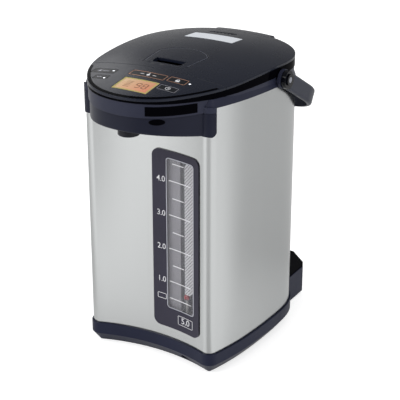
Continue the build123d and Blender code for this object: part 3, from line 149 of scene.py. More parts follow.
class Finish:
    """One procedural material. Constants are set on the shader's own sockets."""

    def __init__(self, name, **constants):
        self.material = bpy.data.materials.new(name)
        self.material.use_nodes = True
        self.tree = self.material.node_tree
        self.shader = self.tree.nodes["Principled BSDF"]
        for socket, value in constants.items():
            self.feed(socket.replace("_", " "), value)

    def join(self, value, socket):
        if isinstance(value, Wire):
            self.tree.links.new(value.socket, socket)
        else:
            socket.default_value = value

    def feed(self, name, value):
        self.join(value, self.shader.inputs[name])

    def node(self, kind, inputs=(), output=0, **settings):
        made = self.tree.nodes.new(kind)
        for name, value in settings.items():
            setattr(made, name, value)
        places = inputs.items() if isinstance(inputs, dict) else enumerate(inputs)
        for place, value in places:
            self.join(value, made.inputs[place])
        return Wire(self, made.outputs[output])

    def place(self, stretch=(1, 1, 1)):
        """The point on the piece, in metres from the origin, scaled for a pattern."""
        point = self.node("ShaderNodeTexCoord", output="Object")
        return self.node("ShaderNodeMapping", {"Vector": point, "Scale": stretch})

    def share_along(self, axis, start, end):
        """A value that runs from 0 to 1 between two places on one axis."""
        place = self.node("ShaderNodeSeparateXYZ", [self.place()], output=axis)
        return (place - start) * (1 / (end - start))

    def noise(self, size, detail=2.0, stretch=(1, 1, 1)):
        """Cloudy noise, 0 to 1, with features of the given size in metres."""
        settings = {"Vector": self.place(stretch), "Scale": 1 / size, "Detail": detail}
        return self.node("ShaderNodeTexNoise", settings, output="Fac")

    def mix(self, share, first, second):
        """A colour between two others."""
        sockets = {0: share, 6: first, 7: second}
        return self.node("ShaderNodeMix", sockets, output=2, data_type="RGBA")

    def relief(self, height, depth, edge=0.0):
        """Bumps of the given depth in metres, over edges that look rounded to the radius edge."""
        sockets = {"Strength": 1.0, "Distance": depth, "Height": height}
        if edge > 0:
            sockets["Normal"] = self.node("ShaderNodeBevel", {"Radius": edge}, samples=edge_samples)
        self.feed("Normal", self.node("ShaderNodeBump", sockets))


print("Ready to mix finishes")

# %% [markdown]
# ## Moulded plastic
# Nearly all that is dark on the pot is moulded plastic. It differs in gloss and grain: a satin beak, a
# semi-gloss lid and a black band that is polished like piano lacquer. One recipe makes them all: a colour
# that drifts a little, a grain pressed in by the mould, and edges that catch the light.

# %% Recipe for moulded plastic
cloud_size = 60 * mm
handling_size = 14 * mm


def handled(finish, roughness):
    """Roughness with the faint patches that hands leave."""
    return roughness + 0.10 * (finish.noise(handling_size, 4.0) - 0.5)


def moulded(name, colour, roughness, grain, depth, edge=0.4 * mm, shine=0.2):
    finish = Finish(name, Specular_IOR_Level=shine)
    cloud = finish.noise(cloud_size, 3.0)
    finish.feed("Base Color", finish.mix(cloud, darker(colour, 0.64), colour))
    finish.feed("Roughness", handled(finish, roughness))
    finish.relief(finish.noise(grain, 2.0), depth, edge)
    return finish


# %% Mix the plastics
finishes = {
    "lid_satin": moulded("lid_plastic", paint(26, 31, 46), 0.26, 0.5 * mm, 0.004 * mm, 1.0 * mm, shine=0.24),
    "gloss_black": moulded("polished_black", paint(4, 4, 9), 0.08, 2.5 * mm, 0.002 * mm, shine=0.006),
    "beak_satin": moulded("beak_plastic", paint(27, 30, 48), 0.34, 0.5 * mm, 0.008 * mm, shine=0.16),
    "shoulder_satin": moulded("shoulder_plastic", paint(46, 49, 68), 0.38, 0.5 * mm, 0.008 * mm),
    "base_satin": moulded("base_plastic", paint(34, 38, 60), 0.40, 0.5 * mm, 0.010 * mm, shine=0.16),
    "key_plastic": moulded("key_plastic", paint(16, 18, 26), 0.34, 0.5 * mm, 0.006 * mm, 0.3 * mm),
    "handle_plastic": moulded("handle_plastic", paint(50, 54, 68), 0.36, 0.6 * mm, 0.010 * mm),
    "handle_grip": moulded("grip_plastic", paint(46, 49, 62), 0.48, 0.8 * mm, 0.030 * mm),
    "gauge_trim": moulded("gauge_plastic", paint(54, 52, 67), 0.30, 0.5 * mm, 0.006 * mm),
    # The inner plastic is its own pale grey, painted lighter still: painted light that lifts the shaded
    # groove behind the gauge window.
    "inner_plastic": moulded("inner_plastic", paint(178, 177, 183), 0.48, 0.6 * mm, 0.012 * mm),
    "black_plastic": moulded("black_plastic", paint(26, 27, 36), 0.30, 0.5 * mm, 0.008 * mm),
    "pump_plastic": moulded("pump_plastic", paint(214, 214, 206), 0.42, 0.8 * mm, 0.010 * mm, shine=0.5),
    "post_white": moulded("post_plastic", paint(232, 230, 228), 0.38, 0.5 * mm, 0.006 * mm, 0.2 * mm, 0.5),
    "float_red": moulded("float_plastic", paint(214, 30, 44), 0.30, 0.5 * mm, 0.006 * mm, 0.2 * mm, 0.4),
}
print("Plastics:", len(finishes))

# %% [markdown]
# The handle turns on a pin at each side. The boss round the pin is polished nearly black, and the pin's end
# is painted light grey, a painted highlight. Both lie round one axis, so the finish measures the distance
# from that axis and picks a colour by it. Two more pieces would do the same, but they would leave a seam.

# %% Polished boss of the handle and painted highlight on the pin
handle = finishes["handle_plastic"]
boss_radius = 12 * mm
painted_pin_highlight_radius = 3.2 * mm
pin_low, pin_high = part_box("pivot_pins")
pin_middle = (pin_low + pin_high) / 2
beside_pin = [handle.place((0, 1, 1)), (0, pin_middle.y, pin_middle.z)]
from_axis = handle.node("ShaderNodeVectorMath", beside_pin, output=1, operation="DISTANCE")
boss = from_axis < boss_radius
# The pin's end is light grey, a painted highlight; the boss round it is its own polished black.
boss_colour_with_painted_highlight = handle.mix(from_axis < painted_pin_highlight_radius, paint(10, 11, 18), paint(150, 152, 160))
arm_colour = handle.mix(handle.noise(cloud_size, 3.0), paint(40, 43, 55), paint(50, 54, 68))
handle.feed("Base Color", handle.mix(boss, arm_colour, boss_colour_with_painted_highlight))
handle.feed("Roughness", handled(handle, 0.36) - 0.2 * boss)
print("The handle turns", round(pin_middle.z / mm), "mm up")

# %% [markdown]
# ## Steel
# The shell is one sheet of stainless steel, brushed upright. Brushing is thousands of fine scratches in one
# direction, so the noise is stretched along the height. The scratches barely change the colour. They change
# the roughness and tilt the surface a little, which draws out the soft upright reflections.

# %% Recipe for brushed and turned metal
band_size = 9 * mm
metal_edge = 0.3 * mm


def worked_metal(name, colour, roughness, stretch, scratch=0.12 * mm, depth=0.004 * mm):
    finish = Finish(name, Metallic=1.0)
    scratches = finish.noise(scratch, 3.0, stretch)
    bands = finish.noise(band_size, 2.0, stretch)
    lines = 0.7 * scratches + 0.3 * bands
    finish.feed("Base Color", finish.mix(lines, darker(colour, 0.86), colour))
    finish.feed("Roughness", roughness + 0.12 * (lines - 0.5))
    finish.relief(scratches, depth, metal_edge)
    return finish


# %% Mix the metals
upright = (1, 1, 0.006)
turned = (1, 1, 14)
turned_crosswise = (14, 1, 1)
cast = (1, 1, 1)
metals = {
    "brushed_shell": worked_metal("brushed_steel", paint(197, 199, 199), 0.24, upright),
    "vessel_steel": worked_metal("drawn_steel", paint(206, 207, 208), 0.22, turned, 0.9 * mm),
    "screw_steel": worked_metal("plated_screw", paint(196, 197, 200), 0.30, turned, 0.4 * mm),
    "pin_steel": worked_metal("ground_pin", paint(205, 206, 208), 0.20, turned_crosswise, 0.4 * mm),
    "heater_metal": worked_metal("cast_plate", paint(186, 187, 190), 0.46, cast, 1.2 * mm, 0.03 * mm),
    "motor_metal": worked_metal("zinc_can", paint(168, 170, 176), 0.34, turned, 0.6 * mm),
    "contact_brass": worked_metal("contact_brass", paint(214, 184, 108), 0.24, turned, 0.4 * mm),
}
finishes.update(metals)
print("Metals:", len(metals))

# %% [markdown]
# ## Rubber, clear parts, the lit display and the circuit boards
# Rubber and silicone are moulded too, so they take the plastic's recipe with a rounder edge and more shine.
# The rest needs its own: the gauge window is smoked and see-through, the light pipes glow, and the display is
# lit from behind, from amber at its left end to orange at its right.

# %% Rubber and silicone
def soft(name, colour, roughness, grain, depth):
    return moulded(name, colour, roughness, grain, depth, edge=0.3 * mm, shine=0.35)


finishes["soft_seal"] = soft("silicone", paint(206, 206, 200), 0.55, 0.7 * mm, 0.02 * mm)
finishes["foot_rubber"] = soft("foot_rubber", paint(44, 44, 48), 0.78, 0.5 * mm, 0.04 * mm)


# %% Clear plastic, glass and light pipes
def see_through(name, colour, alpha, roughness):
    finish = Finish(name, Roughness=roughness)
    haze = finish.noise(25 * mm, 3.0)
    finish.feed("Base Color", finish.mix(haze, darker(colour, 0.92), colour))
    finish.feed("Alpha", alpha + 0.04 * (haze - 0.5))
    finish.relief(finish.noise(8 * mm, 2.0), 0.002 * mm, 0.2 * mm)
    return finish


finishes["gauge_clear"] = see_through("smoked_window", paint(158, 157, 164), 0.14, 0.10)
finishes["sight_glass"] = see_through("sight_glass", paint(226, 232, 234), 0.07, 0.05)
pipe = Finish("light_pipe", Roughness=0.3, Emission_Strength=0.9)
pipe_glow = pipe.noise(1.5 * mm, 2.0)
pipe.feed("Base Color", pipe.mix(pipe_glow, paint(226, 230, 236), paint(246, 248, 250)))
pipe.feed("Emission Color", pipe.mix(pipe_glow, paint(214, 222, 236), paint(255, 255, 255)))
finishes["milky_plastic"] = pipe


# %% Lit display
display_low, display_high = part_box("display_window")
display = Finish("lit_display", Roughness=0.22, Emission_Strength=0.22)
across = display.share_along("X", display_low.x, display_high.x)
along = display.share_along("Y", display_low.y, display_high.y)
ripple = display.noise(6 * mm, 2.0)
warm = display.mix(across + 0.25 * (ripple - 0.5), paint(184, 146, 92), paint(200, 116, 88))
lit = display.mix(along * 0.5, warm, paint(184, 156, 118))
display.feed("Base Color", lit)
display.feed("Emission Color", lit)
finishes["display_amber"] = display

# %% Label film and circuit board
label = Finish("label_film", Roughness=0.28)
film = label.noise(22 * mm, 3.0)
label.feed("Base Color", label.mix(film, paint(232, 238, 246), paint(240, 244, 250)))
label.relief(label.noise(5 * mm, 2.0), 0.01 * mm, 0.2 * mm)
finishes["white_label"] = label

board = Finish("circuit_board", Roughness=0.42)
track_places = {"Vector": board.place((160, 160, 160)), "Scale": 1.0, "Mortar Size": 0.05}
tracks = board.node("ShaderNodeTexBrick", track_places, output="Fac")
board.feed("Base Color", board.mix(tracks, paint(38, 104, 62), paint(70, 140, 92)))
board.relief(tracks, 0.03 * mm)
finishes["circuit_board"] = board
print("Finishes in all:", len(finishes))

# %% [markdown]
# ## Dress the CAD nodes
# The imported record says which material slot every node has, so one loop gives all of them their finish.

# %% Give every node its finish
for row in frame["record"]["subparts"]:
    node = nodes[row["node"]]
    node.data.materials.clear()
    node.data.materials.append(finishes[row["material_slot"]].material)

# %% [markdown]
# ## Printing on curved parts
# The marks on a thermo pot are printed ink or hot-stamped foil, a tenth of a millimetre thick, on faces that
# curve. Each mark is drawn flat in front of the part, from a plane or a circle, and then laid on the part
# with a Shrinkwrap modifier that projects it straight on. Solidify gives it the thickness of the ink.
# Modelling it in place would need the curve of every face, and a picture texture would be lost when the pot
# is repainted.

# %% Helpers: start, open, close, trim and modify a piece
ink = 0.12 * mm
facing_up = (0, 0, 0)
facing_front = (pi / 2, 0, 0)


def start():
    """Leaves nothing selected, so that the next operator works on its own piece alone."""
    bpy.ops.object.select_all(action="DESELECT")


def open_all():
    """Opens the active piece in edit mode with all of it selected."""
    bpy.ops.object.mode_set(mode="EDIT")
    bpy.ops.mesh.select_all(action="SELECT")


def close():
    """Goes back to object mode."""
    bpy.ops.object.mode_set(mode="OBJECT")


def trim(place, outwards):
    """Cuts the open piece with a plane and clears what lies outside it."""
    bpy.ops.mesh.select_all(action="SELECT")
    bpy.ops.mesh.bisect(plane_co=place, plane_no=outwards, clear_outer=True)


def modify(kind, **settings):
    """Adds a modifier to the active piece and applies it."""
    modifier = bpy.context.object.modifiers.new(kind.lower(), kind)
    for name, value in settings.items():
        setattr(modifier, name, value)
    bpy.ops.object.modifier_apply(modifier=modifier.name)


# %% Helpers: join pieces and settle a finished one
def join(pieces):
    """Joins pieces to one, which becomes the active piece."""
    start()
    for piece in pieces:
        piece.select_set(True)
    bpy.context.view_layer.objects.active = pieces[0]
    if len(pieces) > 1:
        bpy.ops.object.join()
    return pieces[0]


def settle(piece, name, finish, body):
    """Names a finished piece, gives it its finish and lets it ride on its body."""
    start()
    piece.select_set(True)
    bpy.context.view_layer.objects.active = piece
    bpy.ops.object.transform_apply(location=True, rotation=True, scale=True)
    piece.name = name
    piece.data.name = name
    piece.data.materials.clear()
    piece.data.materials.append(finish.material)
    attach(piece, body)
    print(name, "has", len(piece.data.polygons), "faces and rides on", body)


# %% Helpers: flat shapes
corner_segments = 5
bend_cuts = 7
disc_sides = 32


def flat_plate(centre, width, height, facing, corner=0.0, cuts=0):
    """A flat rectangle, with round corners if asked, cut into a grid where it has to bend."""
    start()
    bpy.ops.mesh.primitive_plane_add(size=1, location=centre, rotation=facing)
    plate = bpy.context.object
    plate.scale = (width, height, 1)
    bpy.ops.object.transform_apply(location=False, rotation=False, scale=True)
    open_all()
    if corner > 0:
        bpy.ops.mesh.bevel(offset=corner, segments=corner_segments, affect="VERTICES")
    if cuts > 0:
        bpy.ops.mesh.subdivide(number_cuts=cuts)
    close()
    return plate


def flat_ring(centre, width, height, line, facing, corner):
    """A flat rectangular outline with round corners."""
    ring = flat_plate(centre, width, height, facing, corner)
    open_all()
    bpy.ops.mesh.inset(thickness=line, depth=0)
    bpy.ops.mesh.delete(type="FACE")
    bpy.ops.mesh.select_all(action="SELECT")
    bpy.ops.mesh.subdivide(number_cuts=bend_cuts)
    close()
    return ring


def flat_disc(centre, radius, facing, hole=0.0):
    """A flat disc, or a ring where it has a hole."""
    start()
    bpy.ops.mesh.primitive_circle_add(
        vertices=disc_sides, radius=radius, fill_type="NGON", location=centre, rotation=facing)
    if hole > 0:
        open_all()
        bpy.ops.mesh.inset(thickness=radius - hole, depth=0)
        bpy.ops.mesh.delete(type="FACE")
        close()
    return bpy.context.object


# %% Helper: lay flat pieces on a part
def lay_on(pieces, node, facing, thickness=ink):
    """Joins flat pieces, projects them on to a CAD node and gives them the thickness of ink."""
    piece = join(pieces)
    bpy.ops.object.transform_apply(location=True, rotation=True, scale=True)
    upward = facing == facing_up
    modify("SHRINKWRAP", target=nodes[node], wrap_method="PROJECT", use_project_z=upward,
           use_project_y=not upward, use_negative_direction=upward, use_positive_direction=not upward)
    modify("SOLIDIFY", thickness=thickness, offset=1)
    return piece


# %% [markdown]
# ## Inks and foils
# The scale, the numbers and most signs are printed in white, the small signs in pale grey, and the display
# has brown segments in a lime frame. Two key outlines are copper-coloured foil and one is silver. Ink is matt
# and a little uneven, and foil is partly metal.

# %% Mix the inks
def printed(name, colour, roughness=0.5, metallic=0.0):
    finish = Finish(name, Roughness=roughness, Metallic=metallic)
    speckle = finish.noise(0.6 * mm, 2.0)
    finish.feed("Base Color", finish.mix(speckle, darker(colour, 0.9), colour))
    finish.relief(speckle, 0.004 * mm)
    return finish


white_ink = printed("white_ink", paint(236, 236, 240))
pale_ink = printed("pale_ink", paint(188, 190, 200))
brown_ink = printed("dark_ink", paint(112, 70, 52))
lime_ink = printed("lime_ink", paint(184, 176, 100))
copper_foil = printed("copper_foil", paint(232, 178, 150), 0.3, 0.6)
silver_foil = printed("silver_foil", paint(176, 176, 186), 0.3, 0.6)
# A light grey ink for the band along the lid lever's edge, a painted highlight.
painted_highlight_grey = printed("painted_highlight_grey", paint(84, 88, 102), 0.35)
print("Inks are mixed")

# %% [markdown]
# ## The level gauge
# A dark panel on the steel frames a smoked window. Behind it stands a clear tube with a red float, and a
# striped film inside the window, beside the tube, makes the water line easy to see. The scale is printed on
# the window: a long line for every litre and for the lowest level, a short one for every half litre, and a
# thin line round the window's edge. The numbers stand on the panel.

# %% Lines of the scale
window_low, window_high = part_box("gauge_window")
before_front = cad_box[0].y - 20 * mm
scale_left = window_low.x + 4 * mm
half_left = window_low.x + 9 * mm
scale_right = window_high.x - 4.5 * mm
half_right = window_low.x + 25 * mm
litre_step = 40.9 * mm
first_litre = 100.6 * mm
refill_height = 79.4 * mm
line_width = 0.9 * mm


def scale_line(left, right, height):
    middle = ((left + right) / 2, before_front, height)
    return flat_plate(middle, right - left, line_width, facing_front, cuts=7)


lines = [scale_line(scale_left, scale_right, first_litre + litre * litre_step) for litre in range(4)]
lines.append(scale_line(scale_left, scale_right, refill_height))
lines += [scale_line(half_left, half_right, first_litre + (litre + 0.5) * litre_step) for litre in range(4)]
scale_lines = lay_on(lines, "gauge_window", facing_front)
settle(scale_lines, "gauge_scale_lines", white_ink, "pot")

# %% Line round the window
window_size = window_high - window_low
window_middle = ((window_low.x + window_high.x) / 2, before_front, (window_low.z + window_high.z) / 2)
window_inset = 0.4 * mm
window_ring = flat_ring(window_middle, window_size.x - window_inset, window_size.z - window_inset, line_width,
                        facing_front, 4 * mm)
window_edge = lay_on([window_ring], "gauge_window", facing_front)
settle(window_edge, "gauge_window_edge", pale_ink, "pot")

# %% Numbers beside the scale
panel_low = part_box("gauge_frame")[0]
number_x = (panel_low.x + window_low.x) / 2 + 2.6 * mm
number_size = 9.4 * mm
capacity_x = 44 * mm
capacity_height = 55 * mm
capacity_size = 10.5 * mm
stroke_gain = 0.05 * mm


def number(digits, x, height, size):
    """Digits as a flat mesh, with strokes that are a little bolder than the font's."""
    start()
    bpy.ops.object.text_add(location=(x, before_front, height), rotation=facing_front)
    writing = bpy.context.object.data
    writing.body = digits
    writing.size = size
    writing.offset = stroke_gain
    writing.align_x = "CENTER"
    writing.align_y = "CENTER"
    bpy.ops.object.convert(target="MESH")
    return bpy.context.object


def number_box(x, height, width, tall, line, corner):
    return flat_ring((x, before_front, height), width, tall, line, facing_front, corner)


marks = []
for litre in range(4):
    marks.append(number(f"{litre + 1}.0", number_x, first_litre + litre * litre_step, number_size))
marks.append(number("5.0", capacity_x, capacity_height, capacity_size))
marks.append(number_box(capacity_x, capacity_height, 22 * mm, 11.5 * mm, 0.5 * mm, 1.5 * mm))
marks.append(number_box(number_x, refill_height, 12 * mm, 7 * mm, 0.6 * mm, 1.2 * mm))
settle(lay_on(marks, "gauge_frame", facing_front), "gauge_numbers", white_ink, "pot")

# %% [markdown]
# The striped film is one slanting bar, copied up the film and then trimmed to its edges. The trim is a
# bisect, which cuts the bars and clears what lies outside, so every bar ends exactly on the edge.

# %% Striped film beside the tube
tube_low, tube_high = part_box("sight_tube")
film_x = (tube_low.x + tube_high.x) / 2 + 6.5 * mm
film_y = tube_low.y - 0.9 * mm
film_half = 5.3 * mm
film_foot = window_low.z + 22 * mm
film_head = window_high.z - 2 * mm
stripe_pitch = 4.1 * mm
stripe_count = 40
stripe_length = 20 * mm
stripe_width = 2 * mm
stripe_slant = radians(50)
bars = []
for step in range(stripe_count):
    bar_place = (film_x, film_y, film_foot + step * stripe_pitch)
    bar = flat_plate(bar_place, stripe_length, stripe_width, facing_front)
    bar.rotation_euler = (pi / 2, -stripe_slant, 0)
    bars.append(bar)
stripes = join(bars)
bpy.ops.object.transform_apply(location=True, rotation=True, scale=True)
open_all()
trim((film_x - film_half, 0, 0), (-1, 0, 0))
trim((film_x + film_half, 0, 0), (1, 0, 0))
trim((0, 0, film_foot), (0, 0, -1))
trim((0, 0, film_head), (0, 0, 1))
close()
modify("SOLIDIFY", thickness=ink, offset=1)
settle(stripes, "gauge_stripes", white_ink, "pot")

# %% [markdown]
# ## Outlines and signs on the keys
# The three main keys have a thin foil outline, and every key has a simple sign: a drop to pour, a lock to
# unlock, a clock for the timer, a sun to keep warm and a wave to boil again. Each print rides on its own key,
# so it goes down with it.

# %% Foil outlines
over_crown = crown + 5 * mm
foil_inset = 0.5 * mm
foil_line = 0.55 * mm
foil_corner = 1.1 * mm


def middle_of(node):
    """A place above the middle of a node, and the node's size."""
    low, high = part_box(node)
    return Vector(((low.x + high.x) / 2, (low.y + high.y) / 2, over_crown)), high - low


for key, foil in (("dispense", copper_foil), ("unlock", copper_foil), ("timer", silver_foil)):
    centre, size = middle_of(f"key_{key}")
    ring = flat_ring(centre, size.x - foil_inset, size.y - foil_inset, foil_line, facing_up, foil_corner)
    settle(lay_on([ring], f"key_{key}", facing_up), f"{key}_outline", foil, f"{key}_key")


# %% Bars and discs for the signs, placed and sized in millimetres from the middle of a key
def bar_sign(centre, x, y, width, height, turn=0.0):
    bar = flat_plate(centre + Vector((x, y, 0)) * mm, width * mm, height * mm, facing_up)
    bar.rotation_euler = (0, 0, turn)
    return bar


def disc_sign(centre, x, y, radius, hole=0.0):
    return flat_disc(centre + Vector((x, y, 0)) * mm, radius * mm, facing_up, hole * mm)


def drop_sign(centre):
    """A drop: a disc whose top is drawn out to a point."""
    drop_radius = 1.9
    drop = disc_sign(centre, 0, -0.6, drop_radius)
    open_all()
    bpy.ops.mesh.select_all(action="DESELECT")
    close()
    for vertex in drop.data.vertices:
        vertex.select = vertex.co.y > 0.97 * drop_radius * mm
    bpy.ops.object.mode_set(mode="EDIT")
    bpy.ops.transform.translate(value=(0, 2.6 * mm, 0))
    close()
    return drop


def wave_sign(centre, x):
    """Three short bars that rise and fall, for water on the boil."""
    return [bar_sign(centre, x + 2.2 * step, 0, 2.6, 0.6, radians(35 * (-1) ** step)) for step in (-1, 0, 1)]


# %% Drop, lock and clock
centre = middle_of("key_dispense")[0]
signs = [drop_sign(centre)]
signs += [bar_sign(centre, side * 7.5, 0, 4.5, 0.8) for side in (-1, 1)]
settle(lay_on(signs, "key_dispense", facing_up), "dispense_sign", white_ink, "dispense_key")

centre = middle_of("key_unlock")[0]
lock = [bar_sign(centre, 0, -1.2, 4.6, 3.2), disc_sign(centre, 0, 0.9, 1.9, 1.2)]
settle(lay_on(lock, "key_unlock", facing_up), "unlock_sign", white_ink, "unlock_key")

centre = middle_of("key_timer")[0]
clock = [disc_sign(centre, 0, 0, 2.9, 2.3)]
clock += [bar_sign(centre, 0, 0.8, 0.5, 1.9), bar_sign(centre, 0.7, 0, 1.7, 0.5)]
settle(lay_on(clock, "key_timer", facing_up), "timer_sign", white_ink, "timer_key")

# %% Sun and wave
centre = middle_of("key_keep_warm")[0]
sun_x = -6
ray_reach = 2.3
sun = [disc_sign(centre, sun_x, 0, 1.3)]
for ray in range(8):
    angle = ray * pi / 4
    sun.append(bar_sign(centre, sun_x + ray_reach * cos(angle), ray_reach * sin(angle), 1.1, 0.4, angle))
sun.append(bar_sign(centre, 2, 0, 8, 0.7))
settle(lay_on(sun, "key_keep_warm", facing_up), "keep_warm_sign", pale_ink, "keep_warm_key")

wave = wave_sign(middle_of("key_reboil")[0], -2.5)
settle(lay_on(wave, "key_reboil", facing_up), "reboil_sign", pale_ink, "reboil_key")

# %% [markdown]
# ## Edges that follow the plan of a part
# The control panel is satin, but its front edge is polished like the band below it, and the lid lever's edge
# gets a thin light grey band, a painted highlight. Both follow a plan that is made of many arcs. Rather than
# draw those again, a plain circle is shrunk on to the side of the part, which gives it that plan. It is then
# made a little smaller, extruded inwards, lifted over the lid and laid on top like a print.

# %% A flat band along the outline of a node
band_sides = 192


def outline_band(node, middle, radius, first, steps):
    """A circle shrunk on to the node's side, scaled once by first and extruded inwards by every step."""
    start()
    bpy.ops.mesh.primitive_circle_add(vertices=band_sides, radius=radius, location=middle)
    band = bpy.context.object
    bpy.ops.object.transform_apply(location=True)
    modify("SHRINKWRAP", target=nodes[node], wrap_method="NEAREST_SURFACEPOINT")
    open_all()
    bpy.ops.transform.resize(value=(first, first, 1), center_override=middle)
    for inward in steps:
        bpy.ops.mesh.extrude_edges_move()
        bpy.ops.transform.resize(value=(inward, inward, 1), center_override=middle)
    bpy.ops.mesh.select_all(action="SELECT")
    bpy.ops.transform.translate(value=(0, 0, over_crown - middle[2]))
    bpy.ops.mesh.normals_make_consistent(inside=False)
    close()
    return band


# %% Polished edge of the panel
rim_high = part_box("panel_rim")[1]
edge_band = outline_band("panel_rim", (0, 0, rim_high.z - 3 * mm), 160 * mm, 0.994, (0.99, 0.99, 0.99))
open_all()
trim((0, rim_high.y - 8 * mm, 0), (0, 1, 0))
close()
edge_band = lay_on([edge_band], "panel_cover", facing_up)
settle(edge_band, "panel_polished_edge", finishes["gloss_black"], "pot")

# %% Painted highlight along the edge of the lid lever
highlight_ink = 0.015 * mm
lever_low, lever_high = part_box("lid_lever")
lever_middle = (0, (lever_low.y + lever_high.y) / 2, lever_high.z - 1.5 * mm)
# The grey band laid along the lever's outline is a painted highlight, not a real chamfer.
lever_highlight_band = outline_band("lid_lever", lever_middle, 50 * mm, 0.985, (0.978,))
open_all()
trim((0, lever_low.y + 4 * mm, 0), (0, -1, 0))
close()
lever_highlight_band = lay_on([lever_highlight_band], "lid_lever", facing_up, highlight_ink)
settle(lever_highlight_band, "lever_painted_highlight", painted_highlight_grey, "lever")

# %% [markdown]
# ## What the display shows
# A back-lit display has dark segments on a glowing ground, here in a lime-coloured frame. Every digit has
# seven bars, of which some are shown, so a table says which bars make each digit. Rows of plain bars stand
# for the small print beside the digits.

# %% Frame of the display
frame_inset = 0.6 * mm
display_middle, display_size = middle_of("display_window")
frame_ring = flat_ring(display_middle, display_size.x - frame_inset, display_size.y - frame_inset, 1.7 * mm,
                       facing_up, 1 * mm)
settle(lay_on([frame_ring], "display_window", facing_up), "display_edge", lime_ink, "pot")

# %% Digits of the display, in millimetres
bars_of_digit = {
    9: ("top", "middle", "bottom", "upper_left", "upper_right", "lower_right"),
    8: ("top", "middle", "bottom", "upper_left", "upper_right", "lower_left", "lower_right"),
}
half_width = 2.5
half_height = 5.0
bar_places = {
    "top": (0, half_height, 0),
    "middle": (0, 0, 0),
    "bottom": (0, -half_height, 0),
    "upper_left": (-half_width, half_height / 2, pi / 2),
    "upper_right": (half_width, half_height / 2, pi / 2),
    "lower_left": (-half_width, -half_height / 2, pi / 2),
    "lower_right": (half_width, -half_height / 2, pi / 2),
}


def digit(value, x):
    """The lit bars of one digit, x from the display's middle."""
    shown = []
    for bar in bars_of_digit[value]:
        bar_x, bar_y, turn = bar_places[bar]
        shown.append(bar_sign(display_middle, x + bar_x, bar_y, 4.0, 0.8, turn))
    return shown


segments = digit(9, 3.5) + digit(8, 11.5)
segments += [bar_sign(display_middle, -9, row, 7, 0.5) for row in (-6, -3, 0, 3, 6)]
segments = lay_on(segments, "display_window", facing_up)
settle(segments, "display_segments", brown_ink, "pot")

# %% [markdown]
# ## Floor
# The studio is a white sheet under soft light, which is pale and keeps the pot's shadow. Its white comes from
# its own glow for rays that the camera sees, so no extra light falls on the pot. Upright steel that is seen
# from above mirrors the floor, so the floor also decides how the steel looks. Mirror rays see it glow in
# front of the pot, much less in one narrow wedge, and elsewhere only close to the pot. That gives a light
# front, a thin dark upright line at the corner with a bright one beside it, and a darker flank.

# %% Floor
floor_white = 0.62
front_white = 0.44
wedge_dimming = 0.46
beside_white = 0.30
front_right_corner = Vector((87, -73, 0)) * mm

start()
bpy.ops.mesh.primitive_plane_add(size=12, location=(0, 0, 0))
floor = bpy.context.object
floor.name = "floor"
ground = Finish("white_sheet", Roughness=0.9)
fibre = ground.noise(3 * mm, 3.0)
ground.feed("Base Color", ground.mix(fibre, paint(226, 226, 226), paint(236, 236, 236)))
floor.data.materials.append(ground.material)
print("The floor is", floor.dimensions.x, "m wide")

# %% Bearing and distance from the pot's front right corner
floor_place = ground.node("ShaderNodeTexCoord", output="Object")
from_corner = ground.node("ShaderNodeMapping", {"Vector": floor_place, "Location": -front_right_corner})
floor_x = ground.node("ShaderNodeSeparateXYZ", [from_corner], output="X")
floor_y = ground.node("ShaderNodeSeparateXYZ", [from_corner], output="Y")
bearing = floor_y.maths("ARCTAN2", floor_y, floor_x)
distance = ground.node("ShaderNodeVectorMath", [from_corner], output="Value", operation="LENGTH")


def step_at(start_angle, end_angle):
    """Rises from 0 to 1 between two bearings, in degrees from the pot's right."""
    sockets = {"Value": bearing, "From Min": radians(start_angle), "From Max": radians(end_angle)}
    return ground.node("ShaderNodeMapRange", sockets, interpolation_type="SMOOTHSTEP")


# %% What mirrors and the camera see of the floor
front_glow = step_at(-172, -120) * (1 - step_at(30, 44))
wedge = step_at(-116, -92) - step_at(-66, -40)
beside_pot = ground.node("ShaderNodeMapRange", {"Value": distance, "From Min": 0.32, "From Max": 0.1})
mirror_white = front_white * front_glow - wedge_dimming * wedge + beside_white * beside_pot * (1 - front_glow)
camera_ray = ground.node("ShaderNodeLightPath", output="Is Camera Ray")
glass_ray = ground.node("ShaderNodeLightPath", output="Is Transmission Ray")
mirror_ray = ground.node("ShaderNodeLightPath", output="Is Glossy Ray")
strength = (camera_ray + glass_ray) * floor_white + mirror_ray * mirror_white
glow = ground.node("ShaderNodeEmission", {"Strength": strength})
lit_sheet = ground.node("ShaderNodeAddShader", [Wire(ground, ground.shader.outputs[0]), glow])
ground.join(lit_sheet, ground.tree.nodes["Material Output"].inputs["Surface"])
print("The floor has", len(ground.tree.nodes), "shader nodes")

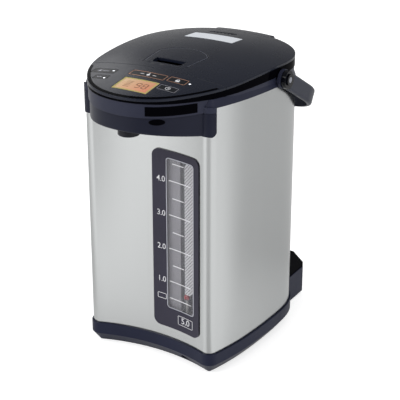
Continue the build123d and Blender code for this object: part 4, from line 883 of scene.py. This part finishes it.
# %% [markdown]
# ## Sky and lamps
# The sky lights the pot softly from all sides. The camera and clear parts see it pure white, and mirrors see
# it grey and darker towards the top, so that the dark lid stays dark. Three large soft lamps add shape: the
# strongest from the front left, a weaker one from the right, and one from the left rear that the lid mirrors.

# %% Sky
class Sky(Finish):
    """The world's shader, made with the same methods as a finish."""

    def __init__(self, name):
        world = bpy.data.worlds.new(name)
        bpy.context.scene.world = world
        world.use_nodes = True
        self.tree = world.node_tree
        self.shader = self.tree.nodes["Background"]


sky = Sky("studio")
height = sky.node("ShaderNodeSeparateXYZ", [sky.node("ShaderNodeTexCoord", output="Generated")], output="Z")
camera_sees = sky.node("ShaderNodeLightPath", output="Is Camera Ray")
glass_passes = sky.node("ShaderNodeLightPath", output="Is Transmission Ray")
mirror_sees = sky.node("ShaderNodeLightPath", output="Is Glossy Ray")
camera_or_glass = camera_sees.maths("MAXIMUM", camera_sees, glass_passes)


horizon = 0.02


def fade_from(low_grey, high_grey, end):
    """A grey that runs from the horizon up to a given height, of which 1 is straight up."""
    ramp = sky.node("ShaderNodeValToRGB", [height])
    stops = ramp.socket.node.color_ramp.elements
    for stop, grey, position in zip(stops, (low_grey, high_grey), (horizon, end)):
        stop.position = position
        stop.color = (grey, grey, grey, 1)
    return ramp


soft_light = fade_from(1.0, 0.65, 0.75)
mirror_light = fade_from(0.5, 0.2, 0.3)
lit_sky = sky.mix(mirror_sees, soft_light, mirror_light)
sky.feed("Color", sky.mix(camera_or_glass, lit_sky, (1, 1, 1, 1)))
sky.feed("Strength", 1.0)
print("The sky has", len(sky.tree.nodes), "shader nodes")


# %% Lamps
def lamp(name, place, size, power):
    """A square soft lamp, in metres and watts, that faces the middle of the pot."""
    start()
    bpy.ops.object.light_add(type="AREA", location=place)
    made = bpy.context.object
    made.name = name
    made.data.size = size
    made.data.energy = power
    made.rotation_euler = (Vector(place) - aim).to_track_quat("Z", "Y").to_euler()
    print(name, "gives", power, "W")


lamp("key_lamp", (-1.3, -1.9, 1.5), 1.4, 23)
lamp("right_lamp", (2.2, -0.6, 1.6), 1.2, 6)
lamp("left_rear_lamp", (-1.7, 1.3, 1.35), 1.0, 4)
bpy.context.scene.view_settings.view_transform = "Standard"
